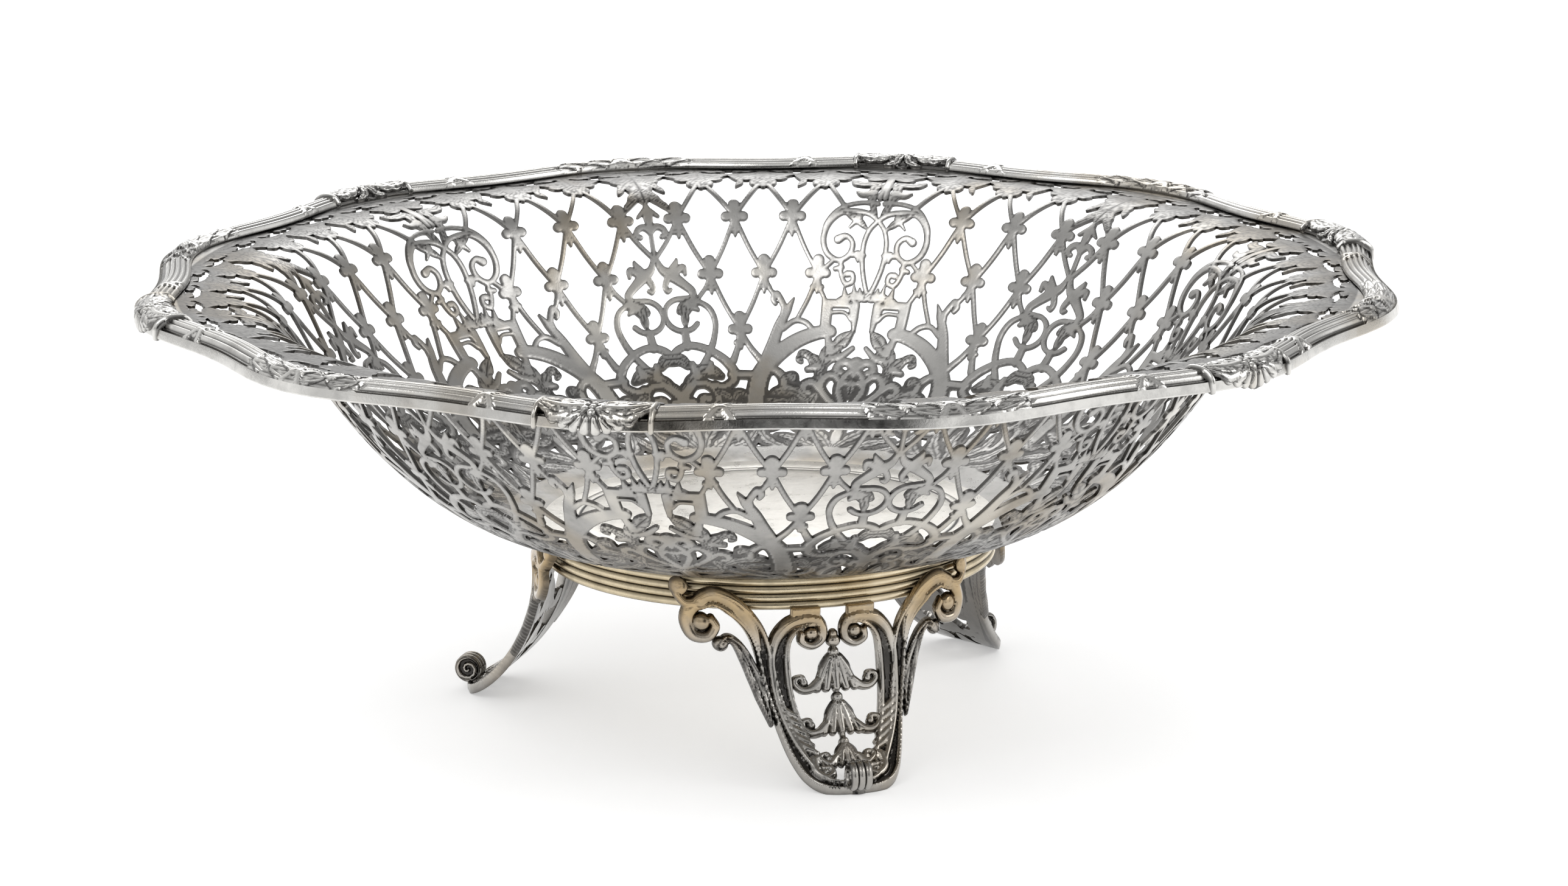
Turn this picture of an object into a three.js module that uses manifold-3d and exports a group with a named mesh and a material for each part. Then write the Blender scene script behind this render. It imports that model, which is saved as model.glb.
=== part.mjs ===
// A round pierced silver basket on three cast openwork feet.
// Millimetres, +Z up. The origin is on the table plane, below the centre of the bowl.
// Azimuths are counted from the -Y side, where the first foot stands, towards +X.

import * as THREE from "three";
import { mergeVertices } from "three/addons/utils/BufferGeometryUtils.js";
import Module from "manifold-3d";

// Counts
const SECTORS = 6; // clasped corners of the border, and repeats of the pierced wall
const FEET = 3;
const TRELLIS_COLUMNS = 48; // knots in one row of the trellis

// Clearance between pieces that are soldered or seated on each other
const SEAT = 0.3;

// Bowl: one raised sheet, measured at the middle of its thickness
const SHEET_THICKNESS = 1.2;
const FLOOR_RADIUS = 59.6; // flat part of the floor
const FLOOR_HEIGHT = 51.5;
const FLOOR_SLOPE = 16.6; // degrees from level, where the wall leaves the floor
const BELLY_RADIUS = 118; // where the wall is steepest
const BELLY_HEIGHT = 95;
const BELLY_SLOPE = 56.7; // degrees from level
const FLOOR_PULL = 7.6; // how long the wall keeps the slope that it leaves the floor at
const BELLY_PULL = 50; // how long the wall keeps its slope below the belly
const SHOULDER_PULL = 19.2; // and above it
const FLARE_PULL = 29.9; // how far the level edge carries back into the wall
const EDGE_HEIGHT = 115.3;

// Border moulding, soldered on the edge of the sheet
const BORDER_RADIUS = 162; // mean radius of its outer edge
const CORNER_RISE = 2.75; // how far a corner stands outside the mean radius
const BORDER_WIDTH = 9;
const BORDER_RISE = 2.2;
const LIP_DROP = 2; // how far its outer lip hangs below the middle of the sheet
const LIP_WIDTH = 1.4;
const BORDER_REEDS = 4;
const REED_RISE = 0.5;
const SHOULDER_SHARE = 0.4; // share of a moulding's height at its two edges

// Clasps over the corners of the border
const CLASP_SPAN = 10; // degrees
const CLASP_OVERHANG = 0.8; // beyond the border, outwards
const CLASP_INSET = 1.6; // beyond the border, inwards
const CLASP_RISE = 3.4;
const CLASP_FLUTES = 5;
const FLUTE_DEPTH = 0.3; // share of the clasp's height

// Trellis of the wall
const BAR_WIDTH = 1.3;
const KNOT_WIDTH = 6;
const KNOT_HEIGHT = 9;
const GARLAND_ROW = 0.852; // rows of knots, as shares of the wall's length from floor to edge
const UPPER_ROW = 0.731;
const MIDDLE_ROW = 0.584;
const LOWER_ROW = 0.443;

// Foot ring
const RING_RADIUS = 59.6;
const RING_WALL = 2;
const RING_BOTTOM = 42.4;
const RING_REEDS = 4;

// Feet: bands cast in one piece, laid out flat and then bent to the leg's side view
const LEG_DEPTH = 2.6;
const LEG_HALF_WIDTH = 20;
const LEG_LAP = 6.2; // how far a leg reaches up over the ring
const LEG_REACH = 82.5; // radius at which the leg runs out level
const SOLE_CUT = 0.5; // how deep the curve of the foot is cut flat
const LEG_UNDERCUT = 3.5; // how far the leg draws in below the ring
const LEG_UPPER_PULL = 17; // how far the leg runs down before it bends outwards
const LEG_LOWER_PULL = 14; // and how far it runs out before it is level
const LEG_LOWER_RISE = 3.5;
const LEG_TOP_BOW = 64; // radius that the leg is bowed to across its top, round the ring
const LEG_TOE_BOW = 600; // and across its toe, which is all but straight
const STILE_WIDTH = 4;
const SCROLL_WIDTH = 3.2;
const LEAF_WIDTH = 1.5;
const OUTER_VOLUTE_RADIUS = 3.8;
const INNER_VOLUTE_RADIUS = 3.3;
const LOWER_VOLUTE_RADIUS = 2.2;
const RING_BALL_RADIUS = 2.4;
const TIE_HEIGHT = 2.2;

// Toe: a fluted shell on the end of each foot
const TOE_LENGTH = 10;
const TOE_OVERHANG = 4; // beyond the end of the leg's curve
const TOE_HEIGHT = 6.2;
const TOE_WIDTH = 9.4;
const TOE_ROUND = 1.6;
const TOE_FLUTES = 3;
const TOE_SCALLOP = 0.07;

// Bellflower drop in the opening of each foot
const DROP_DEPTH = 2.4;
const PEARL_RADIUS = 1.7;
const BEAD_RADIUS = 1.4;
const BEAD_SINK = 0.3; // into the pearl, bell or stem at each of its ends
const STEM_WIDTH = 1.1;
const STEM_GAP = 1.6; // from a bell to the bead below it
const ARM_WIDTH = 1.4;
const BELL_HEIGHTS = [9, 7.6, 6]; // from the ring down
const BELL_WIDTHS = [9.6, 9.2, 7];
const BELL_TEETH = 4;
const BELL_WAIST = 0.28; // share of a bell's width
const BELL_NOTCH = 0.1; // share of a bell's height

// Facets
const BOWL_FACETS = 48;
const WALL_STEPS = 7;
const RING_FACETS = 48;
const BORDER_STEPS = 10;
const BAND_STEPS = 11;
const ARM_STEPS = 5;
const CURVE_SEGMENTS = 4;
const CUTTER_REACH = 4.5; // how far a cutter stands off each side of the sheet

// Finishes
const OXIDISED_SILVER = { color: 0x98958d, roughness: 0.36, metalness: 1 };
const BRIGHT_SILVER = { color: 0xa8a59d, roughness: 0.32, metalness: 1 };
const TARNISHED_SILVER = { color: 0xa2937a, roughness: 0.38, metalness: 1 };

const SECTOR_ANGLE = (2 * Math.PI) / SECTORS;
const COLUMN_ANGLE = (2 * Math.PI) / TRELLIS_COLUMNS;
const AXIS_COLUMNS = TRELLIS_COLUMNS / SECTORS / 2; // from a foot axis to a clasp axis

const wasm = await Module();
wasm.setup();

// Solids: three.js geometries to and from closed solids

function solidOf(geometry) {
  const bare = geometry.clone();
  bare.deleteAttribute("normal");
  bare.deleteAttribute("uv");
  const merged = mergeVertices(bare, 1e-4);
  return new wasm.Manifold(
    new wasm.Mesh({
      numProp: 3,
      vertProperties: new Float32Array(merged.attributes.position.array),
      triVerts: new Uint32Array(merged.index.array),
    }),
  );
}

function geometryOf(solid) {
  const mesh = solid.getMesh();
  const geometry = new THREE.BufferGeometry();
  geometry.setAttribute("position", new THREE.BufferAttribute(mesh.vertProperties, 3));
  geometry.setIndex(new THREE.BufferAttribute(mesh.triVerts, 1));
  geometry.computeVertexNormals();
  return geometry;
}

function joined(geometries) {
  return geometryOf(geometries.map(solidOf).reduce((whole, piece) => whole.add(piece)));
}

// Moves every vertex of a geometry to place(x, y, z).
function bend(geometry, place) {
  const position = geometry.attributes.position;
  for (let i = 0; i < position.count; i += 1) {
    const point = place(position.getX(i), position.getY(i), position.getZ(i));
    position.setXYZ(i, point.x, point.y, point.z);
  }
  geometry.computeVertexNormals();
  return geometry;
}

function polar(azimuth, radius, height) {
  return new THREE.Vector3(radius * Math.sin(azimuth), -radius * Math.cos(azimuth), height);
}

// A curve in the half plane of radius and height, read by its arc length. It runs on straight
// beyond its two ends.
class Profile {
  constructor(path) {
    this.path = path;
    this.length = path.getLength();
  }

  at(distance, offset) {
    const share = THREE.MathUtils.clamp(distance / this.length, 0, 1);
    const tangent = this.path.getTangent(share);
    const normal = new THREE.Vector2(-tangent.y, tangent.x);
    const beyond = distance - share * this.length;
    return this.path.getPoint(share).addScaledVector(tangent, beyond).addScaledVector(normal, offset);
  }
}

function alongSlope(degrees) {
  const angle = THREE.MathUtils.degToRad(degrees);
  return new THREE.Vector2(Math.cos(angle), Math.sin(angle));
}

function bowlProfile() {
  const along = alongSlope(BELLY_SLOPE);
  const floor = new THREE.Vector2(FLOOR_RADIUS, FLOOR_HEIGHT);
  const belly = new THREE.Vector2(BELLY_RADIUS, BELLY_HEIGHT);
  const start = floor.clone().addScaledVector(alongSlope(FLOOR_SLOPE), FLOOR_PULL);
  const below = belly.clone().addScaledVector(along, -BELLY_PULL);
  const above = belly.clone().addScaledVector(along, SHOULDER_PULL);
  const edge = sheetEdgeRadius();
  const path = new THREE.CurvePath();
  path.add(new THREE.CubicBezierCurve(floor, start, below, belly));
  path.add(
    new THREE.CubicBezierCurve(
      belly,
      above,
      new THREE.Vector2(edge - FLARE_PULL, EDGE_HEIGHT),
      new THREE.Vector2(edge, EDGE_HEIGHT),
    ),
  );
  return new Profile(path);
}

// The sheet stops inside the lip, which hangs below it where the border is narrowest.
function sheetEdgeRadius() {
  return BORDER_RADIUS - CORNER_RISE - LIP_WIDTH - 2 * SEAT;
}

// Revolves a closed profile of [radius, height] points that runs with the solid on its left.
function revolved(points, facets) {
  return new THREE.LatheGeometry(points, facets).rotateX(Math.PI / 2);
}

const wall = bowlProfile();

function wallPoint(azimuth, share, offset) {
  const point = wall.at(share * wall.length, offset);
  return polar(azimuth, point.x, point.y);
}

// Bowl

// The face of the sheet that lies offset above its middle, from the floor's centre to the edge.
function sheetFace(offset) {
  const mitre = offset * Math.tan(THREE.MathUtils.degToRad(FLOOR_SLOPE) / 2);
  const height = FLOOR_HEIGHT + offset;
  const face = [new THREE.Vector2(0, height), new THREE.Vector2(FLOOR_RADIUS - mitre, height)];
  for (let step = 1; step <= WALL_STEPS; step += 1) {
    face.push(wall.at((wall.length * step) / WALL_STEPS, offset));
  }
  return face;
}

function bowlShell() {
  const half = SHEET_THICKNESS / 2;
  return revolved([...sheetFace(-half), ...sheetFace(half).reverse()], BOWL_FACETS);
}

// Height of the underside of the sheet at a radius.
function undersideAt(radius) {
  const face = sheetFace(-SHEET_THICKNESS / 2);
  const next = face.findIndex((point) => point.x >= radius);
  const share = (radius - face[next - 1].x) / (face[next].x - face[next - 1].x);
  return THREE.MathUtils.lerp(face[next - 1].y, face[next].y, share);
}

// An opening's outline has points of [columns from the sector's foot axis, share of the wall].

function widthInColumns(millimetres, share) {
  const radius = wall.at(share * wall.length, 0).x;
  return millimetres / (radius * COLUMN_ANGLE);
}

function heightInShares(millimetres) {
  return millimetres / wall.length;
}

// A trellis cell between four knots. Its sides run beside the bars, and the knots cut its corners.
function lozenge(column, top, middle, bottom) {
  const side = 0.5 - widthInColumns(KNOT_WIDTH / 2, middle);
  const drop = heightInShares(KNOT_HEIGHT / 2);
  const gap = widthInColumns(BAR_WIDTH, middle);
  const quarter = (knot) => {
    const rise = knot - middle;
    const end = (0.5 * drop) / Math.abs(rise) - gap;
    return [[end, knot - Math.sign(rise) * drop], [side, middle + rise * (1 - (side + gap) / 0.5)]];
  };
  const right = [...quarter(top), ...quarter(bottom).reverse()];
  const left = right.map(([across, share]) => [-across, share]).reverse();
  return [...right, ...left].map(([across, share]) => [column + across, share]);
}

// The lower half of a cell, between the hanging leaves of the garland.
function halfLozenge(column) {
  const side = 0.5 - widthInColumns(KNOT_WIDTH / 2, GARLAND_ROW);
  const low = UPPER_ROW + heightInShares(KNOT_HEIGHT / 2);
  return [[column - side, GARLAND_ROW], [column, low], [column + side, GARLAND_ROW]];
}

function trellisOpenings() {
  const half = LOWER_ROW - (MIDDLE_ROW - LOWER_ROW) / 2;
  return [
    halfLozenge(0.5),
    halfLozenge(1.5),
    halfLozenge(2.5),
    lozenge(1, GARLAND_ROW, UPPER_ROW, MIDDLE_ROW),
    lozenge(2, GARLAND_ROW, UPPER_ROW, MIDDLE_ROW),
    lozenge(1.5, UPPER_ROW, MIDDLE_ROW, LOWER_ROW),
    lozenge(2.5, UPPER_ROW, MIDDLE_ROW, LOWER_ROW),
    [[2, MIDDLE_ROW - heightInShares(KNOT_HEIGHT / 2)], [1.75, half], [2.2, half]],
    [[3, 0.821], [2.7, 0.752], [2.7, 0.71], [2.97, 0.632], [3.12, 0.752]],
  ];
}

// Openings beside the foot axis: below its pendant and beside its circles.
function footAxisOpenings() {
  return [
    [[0.5, 0.695], [0.14, 0.632], [0.5, 0.563], [0.86, 0.59]],
    [[0.95, 0.506], [0.68, 0.464], [0.6, 0.411], [0.88, 0.411]],
  ];
}

// Openings beside the clasp axis: outside and under its stepped arch.
function claspAxisOpenings() {
  const last = AXIS_COLUMNS;
  return [
    [[last - 1.28, 0.579], [last - 1.3, 0.506], [last - 0.88, 0.506], [last - 0.9, 0.569]],
    [[last - 0.58, 0.495], [last - 0.58, 0.427], [last - 0.32, 0.427], [last - 0.26, 0.495]],
    [[last - 1.5, 0.353], [last - 1.05, 0.427], [last - 0.8, 0.411], [last - 0.9, 0.369]],
    [[last - 1.32, 0.327], [last - 1.4, 0.264], [last - 0.5, 0.264], [last - 0.45, 0.338]],
  ];
}

// Openings on the clasp axis itself: between the stems, in the pointed oval and in the heart.
function centralOpenings() {
  const last = AXIS_COLUMNS;
  return [
    [[last, 0.758], [last + 0.2, 0.831], [last - 0.2, 0.831]],
    [[last, 0.563], [last + 0.15, 0.621], [last, 0.684], [last - 0.15, 0.621]],
    [[last, 0.227], [last + 0.24, 0.296], [last - 0.24, 0.296]],
  ];
}

// A prism through the sheet, with its outline laid on the wall.
function openingCutter(outline, turn, mirror) {
  const points = outline.map(([column, share]) => new THREE.Vector2(column * mirror, share));
  const shape = new THREE.Shape(THREE.ShapeUtils.isClockWise(points) ? points.reverse() : points);
  const prism = new THREE.ExtrudeGeometry(shape, {
    depth: 2 * CUTTER_REACH,
    steps: 1,
    bevelEnabled: false,
  });
  const onWall = (column, share, depth) =>
    wallPoint(turn + column * COLUMN_ANGLE, share, CUTTER_REACH - depth);
  return solidOf(outwards(bend(prism, onWall)));
}

// Turns a closed geometry inside out where its faces point inwards.
function outwards(geometry) {
  if (signedVolume(geometry) > 0) return geometry;
  const position = geometry.attributes.position;
  for (let i = 0; i < position.count; i += 3) {
    const second = new THREE.Vector3().fromBufferAttribute(position, i + 1);
    const third = new THREE.Vector3().fromBufferAttribute(position, i + 2);
    position.setXYZ(i + 1, third.x, third.y, third.z);
    position.setXYZ(i + 2, second.x, second.y, second.z);
  }
  return geometry;
}

function signedVolume(geometry) {
  const position = geometry.attributes.position;
  const corner = [0, 1, 2].map(() => new THREE.Vector3());
  let volume = 0;
  for (let i = 0; i < position.count; i += 3) {
    corner.forEach((vertex, k) => vertex.fromBufferAttribute(position, i + k));
    volume += corner[0].dot(corner[1].clone().cross(corner[2])) / 6;
  }
  return volume;
}

function piercedBowl() {
  const mirrored = [...trellisOpenings(), ...footAxisOpenings(), ...claspAxisOpenings()];
  let bowl = solidOf(bowlShell());
  for (let sector = 0; sector < SECTORS; sector += 1) {
    const turn = sector * SECTOR_ANGLE;
    const cutters = [
      ...mirrored.flatMap((outline) => [1, -1].map((side) => openingCutter(outline, turn, side))),
      ...centralOpenings().map((outline) => openingCutter(outline, turn, 1)),
    ];
    bowl = cutters.reduce((rest, cutter) => rest.subtract(cutter), bowl);
  }
  return geometryOf(bowl);
}

// Border

function borderRadius(azimuth) {
  return BORDER_RADIUS + CORNER_RISE * Math.cos(2 * SECTORS * azimuth);
}

const borderSeat = EDGE_HEIGHT + SHEET_THICKNESS / 2 + SEAT;

// Section of the border: x is the distance in from its outer edge, y the height.
function borderSection(inset, overhang, rise) {
  const lip = EDGE_HEIGHT - LIP_DROP;
  const inner = BORDER_WIDTH + inset;
  const shoulder = borderSeat + rise * SHOULDER_SHARE;
  const shape = new THREE.Shape();
  shape.moveTo(0, lip);
  shape.lineTo(LIP_WIDTH, lip);
  shape.lineTo(LIP_WIDTH, borderSeat);
  shape.lineTo(inner, borderSeat);
  shape.lineTo(inner, shoulder);
  const points = 2 * BORDER_REEDS;
  for (let step = 1; step < points; step += 1) {
    const share = step / points;
    const groove = step % 2 === 0 ? REED_RISE : 0;
    const crown = shoulder + rise * (1 - SHOULDER_SHARE) * Math.sin(Math.PI * share);
    shape.lineTo(inner - (inner + overhang) * share, crown - groove);
  }
  shape.lineTo(-overhang, shoulder);
  shape.lineTo(-overhang, borderSeat);
  return shape;
}

// Sweeps a section between two azimuths along the lobed edge. crownAt scales its height there.
function borderSweep(section, start, end, steps, crownAt) {
  const bar = new THREE.ExtrudeGeometry(section, { depth: 1, steps, bevelEnabled: false });
  const onBorder = (inward, height, share) => {
    const azimuth = start + (end - start) * share;
    const crown = Math.max(height - borderSeat, 0);
    return polar(azimuth, borderRadius(azimuth) - inward, height + crown * (crownAt(share) - 1));
  };
  return outwards(bend(bar, onBorder));
}

function borderSegment(corner) {
  const clasp = THREE.MathUtils.degToRad(CLASP_SPAN / 2) + SEAT / BORDER_RADIUS;
  const start = (corner - 0.5) * SECTOR_ANGLE + clasp;
  const end = (corner + 0.5) * SECTOR_ANGLE - clasp;
  return borderSweep(borderSection(0, 0, BORDER_RISE), start, end, BORDER_STEPS, () => 1);
}

function borderClasp(corner) {
  const half = THREE.MathUtils.degToRad(CLASP_SPAN / 2);
  const centre = (corner + 0.5) * SECTOR_ANGLE;
  const section = borderSection(CLASP_INSET, CLASP_OVERHANG, CLASP_RISE);
  const flutes = (share) => 1 - FLUTE_DEPTH * Math.cos(Math.PI * CLASP_FLUTES * share) ** 2;
  return borderSweep(section, centre - half, centre + half, 2 * CLASP_FLUTES, flutes);
}

// Foot ring

const ringTop = undersideAt(RING_RADIUS - RING_WALL) - SEAT;

function footRing() {
  const inner = RING_RADIUS - RING_WALL;
  const reed = (ringTop - RING_BOTTOM) / RING_REEDS;
  const outline = [new THREE.Vector2(inner, ringTop), new THREE.Vector2(inner, RING_BOTTOM)];
  for (let step = 0; step <= 2 * RING_REEDS; step += 1) {
    const groove = step % 2 === 0 ? REED_RISE : 0;
    outline.push(new THREE.Vector2(RING_RADIUS - groove, RING_BOTTOM + (reed * step) / 2));
  }
  outline.push(outline[0].clone());
  return revolved(outline, RING_FACETS);
}

// Feet. Their layouts are flat: x across the leg, y down it from its top on the ring. A point
// of a route is a share of half the leg's width and a share of the leg's length.

function legProfile() {
  const back = RING_RADIUS + SEAT;
  const path = new THREE.CurvePath();
  const knee = new THREE.Vector2(back, RING_BOTTOM);
  path.add(new THREE.LineCurve(new THREE.Vector2(back, RING_BOTTOM + LEG_LAP), knee));
  path.add(
    new THREE.CubicBezierCurve(
      knee,
      new THREE.Vector2(back - LEG_UNDERCUT, RING_BOTTOM - LEG_UPPER_PULL),
      new THREE.Vector2(LEG_REACH - LEG_LOWER_PULL, LEG_LOWER_RISE),
      new THREE.Vector2(LEG_REACH, -SOLE_CUT),
    ),
  );
  return new Profile(path);
}

const leg = legProfile();

// Radius that the leg is bowed to, across its width, at a distance down it.
function bowRadius(down) {
  const share = THREE.MathUtils.clamp(down / leg.length, 0, 1);
  return 1 / THREE.MathUtils.lerp(1 / LEG_TOP_BOW, 1 / LEG_TOE_BOW, share);
}

function bentToLeg(flat, turn, back) {
  const onLeg = (across, down, depth) => {
    const point = leg.at(down, back + depth);
    const bow = bowRadius(down);
    const outward = point.x - bow * (1 - Math.cos(across / bow));
    const sideways = bow * Math.sin(across / bow);
    return polar(turn + Math.atan2(sideways, outward), Math.hypot(sideways, outward), point.y);
  };
  return outwards(bend(flat, onLeg));
}

function laidOut([across, down], side) {
  return new THREE.Vector2(across * side * LEG_HALF_WIDTH, down * leg.length);
}

function plate(shape, thickness) {
  return new THREE.ExtrudeGeometry(shape, {
    depth: thickness,
    bevelEnabled: false,
    curveSegments: CURVE_SEGMENTS,
  });
}

function disc(centre, radius, thickness) {
  const shape = new THREE.Shape().absarc(centre.x, centre.y, radius, 0, 2 * Math.PI);
  return plate(shape, thickness);
}

// A band along a smooth route, its width running evenly from the first value to the second.
function band(route, side, widths, thickness, steps = BAND_STEPS) {
  const curve = new THREE.SplineCurve(route.map((point) => laidOut(point, side)));
  const left = [];
  const right = [];
  for (let step = 0; step <= steps; step += 1) {
    const share = step / steps;
    const point = curve.getPointAt(share);
    const tangent = curve.getTangentAt(share);
    const normal = new THREE.Vector2(-tangent.y, tangent.x);
    const half = THREE.MathUtils.lerp(widths[0], widths[1], share) / 2;
    left.push(point.clone().addScaledVector(normal, half));
    right.push(point.clone().addScaledVector(normal, -half));
  }
  return plate(new THREE.Shape([...left, ...right.reverse()]), thickness);
}

const STILE_ROUTE = [
  [1.6, 0.13], [1.42, 0.075], [1.2, 0.13], [1.0, 0.24], [0.9, 0.36], [0.84, 0.5],
  [0.76, 0.65], [0.66, 0.78], [0.54, 0.89], [0.38, 0.98], [0.18, 1.025], [0, 1.035],
];
const SCROLL_ROUTE = [
  [0.14, 0.19], [0.32, 0.15], [0.54, 0.185], [0.68, 0.28], [0.71, 0.42], [0.67, 0.58],
  [0.6, 0.72], [0.5, 0.84], [0.4, 0.915], [0.3, 0.93],
];
const LEAF_ROUTE = [[1.4, 0.28], [1.22, 0.27], [1.06, 0.36], [0.95, 0.48], [0.88, 0.6]];
const TENDRIL_ROUTE = [[1.6, 0.13], [1.8, 0.125], [1.95, 0.07]];
const OUTER_VOLUTE = [1.64, 0.175];
const INNER_VOLUTE = [0.27, 0.225];
const LOWER_VOLUTE = [0.33, 0.93];
const RING_BALL = [2, 0.05];

function legSide(side) {
  return [
    band(STILE_ROUTE, side, [STILE_WIDTH, STILE_WIDTH], LEG_DEPTH),
    band(SCROLL_ROUTE, side, [SCROLL_WIDTH, SCROLL_WIDTH], LEG_DEPTH),
    band(LEAF_ROUTE, side, [LEAF_WIDTH, 2 * LEAF_WIDTH], LEG_DEPTH, ARM_STEPS),
    band(TENDRIL_ROUTE, side, [STILE_WIDTH, LEAF_WIDTH], LEG_DEPTH, ARM_STEPS),
    disc(laidOut(OUTER_VOLUTE, side), OUTER_VOLUTE_RADIUS, LEG_DEPTH),
    disc(laidOut(INNER_VOLUTE, side), INNER_VOLUTE_RADIUS, LEG_DEPTH),
    disc(laidOut(LOWER_VOLUTE, side), LOWER_VOLUTE_RADIUS, LEG_DEPTH),
    disc(laidOut(LEAF_ROUTE[0], side), LEAF_WIDTH, LEG_DEPTH),
    disc(laidOut(RING_BALL, side), RING_BALL_RADIUS, LEG_DEPTH),
  ];
}

// The short tie between the two inner volutes, above the drop.
function voluteTie() {
  const centre = laidOut(INNER_VOLUTE, 1);
  const shape = new THREE.Shape();
  shape.moveTo(-centre.x, centre.y - TIE_HEIGHT);
  shape.lineTo(centre.x, centre.y - TIE_HEIGHT);
  shape.lineTo(centre.x, centre.y);
  shape.lineTo(-centre.x, centre.y);
  return plate(shape, LEG_DEPTH);
}

// Everything below the table, to be cut from a foot so that it stands on a flat sole.
function belowTable() {
  const size = 4 * LEG_REACH;
  return new THREE.BoxGeometry(size, size, size).translate(0, 0, -size / 2);
}

function legFrame(turn) {
  const flat = joined([...legSide(1), ...legSide(-1), voluteTie()]).toNonIndexed();
  const bent = solidOf(bentToLeg(flat, turn, 0));
  return geometryOf(bent.subtract(solidOf(belowTable())));
}

// A shell whose scalloped edge looks outwards, on the face of the frame it stands on.
function shellToe(turn) {
  const start = leg.length + TOE_OVERHANG - TOE_LENGTH;
  const half = TOE_WIDTH / 2 - TOE_ROUND;
  const points = [];
  for (let step = 0; step <= 2 * TOE_FLUTES; step += 1) {
    const angle = (Math.PI * step) / (2 * TOE_FLUTES);
    const scallop = step % 2 === 0 ? 1 : 1 - TOE_SCALLOP;
    const down = (TOE_LENGTH - TOE_ROUND) * Math.sin(angle);
    points.push(new THREE.Vector2(half * Math.cos(angle) * scallop, start + down * scallop));
  }
  const shell = new THREE.ExtrudeGeometry(new THREE.Shape(points), {
    depth: TOE_HEIGHT - 2 * TOE_ROUND,
    bevelThickness: TOE_ROUND,
    bevelSize: TOE_ROUND,
    bevelSegments: 2,
  });
  return bentToLeg(shell, turn, LEG_DEPTH + SEAT + TOE_ROUND);
}

// Drop: a pearl and three bellflowers on a stem, in the opening between the inner scrolls

function bellflower(top, height, width) {
  const shape = new THREE.Shape();
  const waist = width * BELL_WAIST;
  shape.moveTo(0, top);
  shape.bezierCurveTo(waist, top, waist, top + height / 2, width / 2, top + height);
  for (let tooth = 1; tooth < 2 * BELL_TEETH; tooth += 1) {
    const rise = tooth % 2 === 1 ? height * BELL_NOTCH : 0;
    shape.lineTo(width * (0.5 - tooth / (2 * BELL_TEETH)), top + height - rise);
  }
  shape.lineTo(-width / 2, top + height);
  shape.bezierCurveTo(-waist, top + height / 2, -waist, top, 0, top);
  return plate(shape, DROP_DEPTH);
}

// The inner edge of the leg's opening at a distance down the leg, as a distance from its centre.
function openingHalfWidth(down) {
  const route = new THREE.SplineCurve(SCROLL_ROUTE.map((point) => laidOut(point, 1)));
  const nearest = route
    .getPoints(4 * BAND_STEPS)
    .reduce((best, point) => (Math.abs(point.y - down) < Math.abs(best.y - down) ? point : best));
  return nearest.x - SCROLL_WIDTH / 2;
}

// The arm that curls up from a bell's lower corner and meets the scroll beside it.
function bellArm(bottom, width, side) {
  const reach = openingHalfWidth(bottom - ARM_WIDTH) - SEAT - ARM_WIDTH / 2;
  const start = width / 2 - ARM_WIDTH / 2;
  const route = [
    [start, bottom - ARM_WIDTH],
    [(start + reach) / 2, bottom - ARM_WIDTH / 2],
    [reach - ARM_WIDTH / 2, bottom - ARM_WIDTH],
    [reach - ARM_WIDTH / 4, bottom - 2.2 * ARM_WIDTH],
    [reach - 1.4 * ARM_WIDTH, bottom - 2.8 * ARM_WIDTH],
  ];
  const shares = route.map(([across, down]) => [across / LEG_HALF_WIDTH, down / leg.length]);
  return band(shares, side, [ARM_WIDTH, ARM_WIDTH], DROP_DEPTH, ARM_STEPS);
}

// The square stem that the beads and bells are threaded on, at the middle of their depth.
function stem(top, bottom) {
  return new THREE.BoxGeometry(STEM_WIDTH, bottom - top, STEM_WIDTH)
    .translate(0, (top + bottom) / 2, DROP_DEPTH / 2)
    .toNonIndexed();
}

function bellflowerDrop(turn) {
  const top = laidOut(INNER_VOLUTE, 1).y + SEAT;
  const pieces = [disc(new THREE.Vector2(0, top + PEARL_RADIUS), PEARL_RADIUS, DROP_DEPTH)];
  let down = top + 2 * PEARL_RADIUS;
  BELL_HEIGHTS.forEach((height, index) => {
    const width = BELL_WIDTHS[index];
    const bead = new THREE.Vector2(0, down + BEAD_RADIUS - BEAD_SINK);
    const bellTop = bead.y + BEAD_RADIUS - BEAD_SINK;
    const bottom = bellTop + height;
    pieces.push(disc(bead, BEAD_RADIUS, DROP_DEPTH));
    pieces.push(bellflower(bellTop, height, width));
    pieces.push(bellArm(bottom, width, 1), bellArm(bottom, width, -1));
    down = bottom + STEM_GAP;
  });
  pieces.push(stem(top + PEARL_RADIUS, down - 2 * STEM_GAP));
  const flat = joined(pieces).toNonIndexed();
  return bentToLeg(flat, turn, (LEG_DEPTH - DROP_DEPTH) / 2);
}

// Assembly

const basket = new THREE.Group();

function place(name, geometry, finish) {
  const mesh = new THREE.Mesh(geometry, new THREE.MeshStandardMaterial(finish));
  mesh.name = name;
  basket.add(mesh);
}

place("pierced_bowl", piercedBowl(), OXIDISED_SILVER);
place("foot_ring", footRing(), TARNISHED_SILVER);
for (let corner = 0; corner < SECTORS; corner += 1) {
  place(`border_section_${corner + 1}`, borderSegment(corner), BRIGHT_SILVER);
  place(`border_clasp_${corner + 1}`, borderClasp(corner), BRIGHT_SILVER);
}
for (let foot = 0; foot < FEET; foot += 1) {
  const turn = (foot * 2 * Math.PI) / FEET;
  place(`leg_frame_${foot + 1}`, legFrame(turn), OXIDISED_SILVER);
  place(`shell_toe_${foot + 1}`, shellToe(turn), OXIDISED_SILVER);
  place(`bellflower_drop_${foot + 1}`, bellflowerDrop(turn), OXIDISED_SILVER);
}

export default basket;
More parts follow.
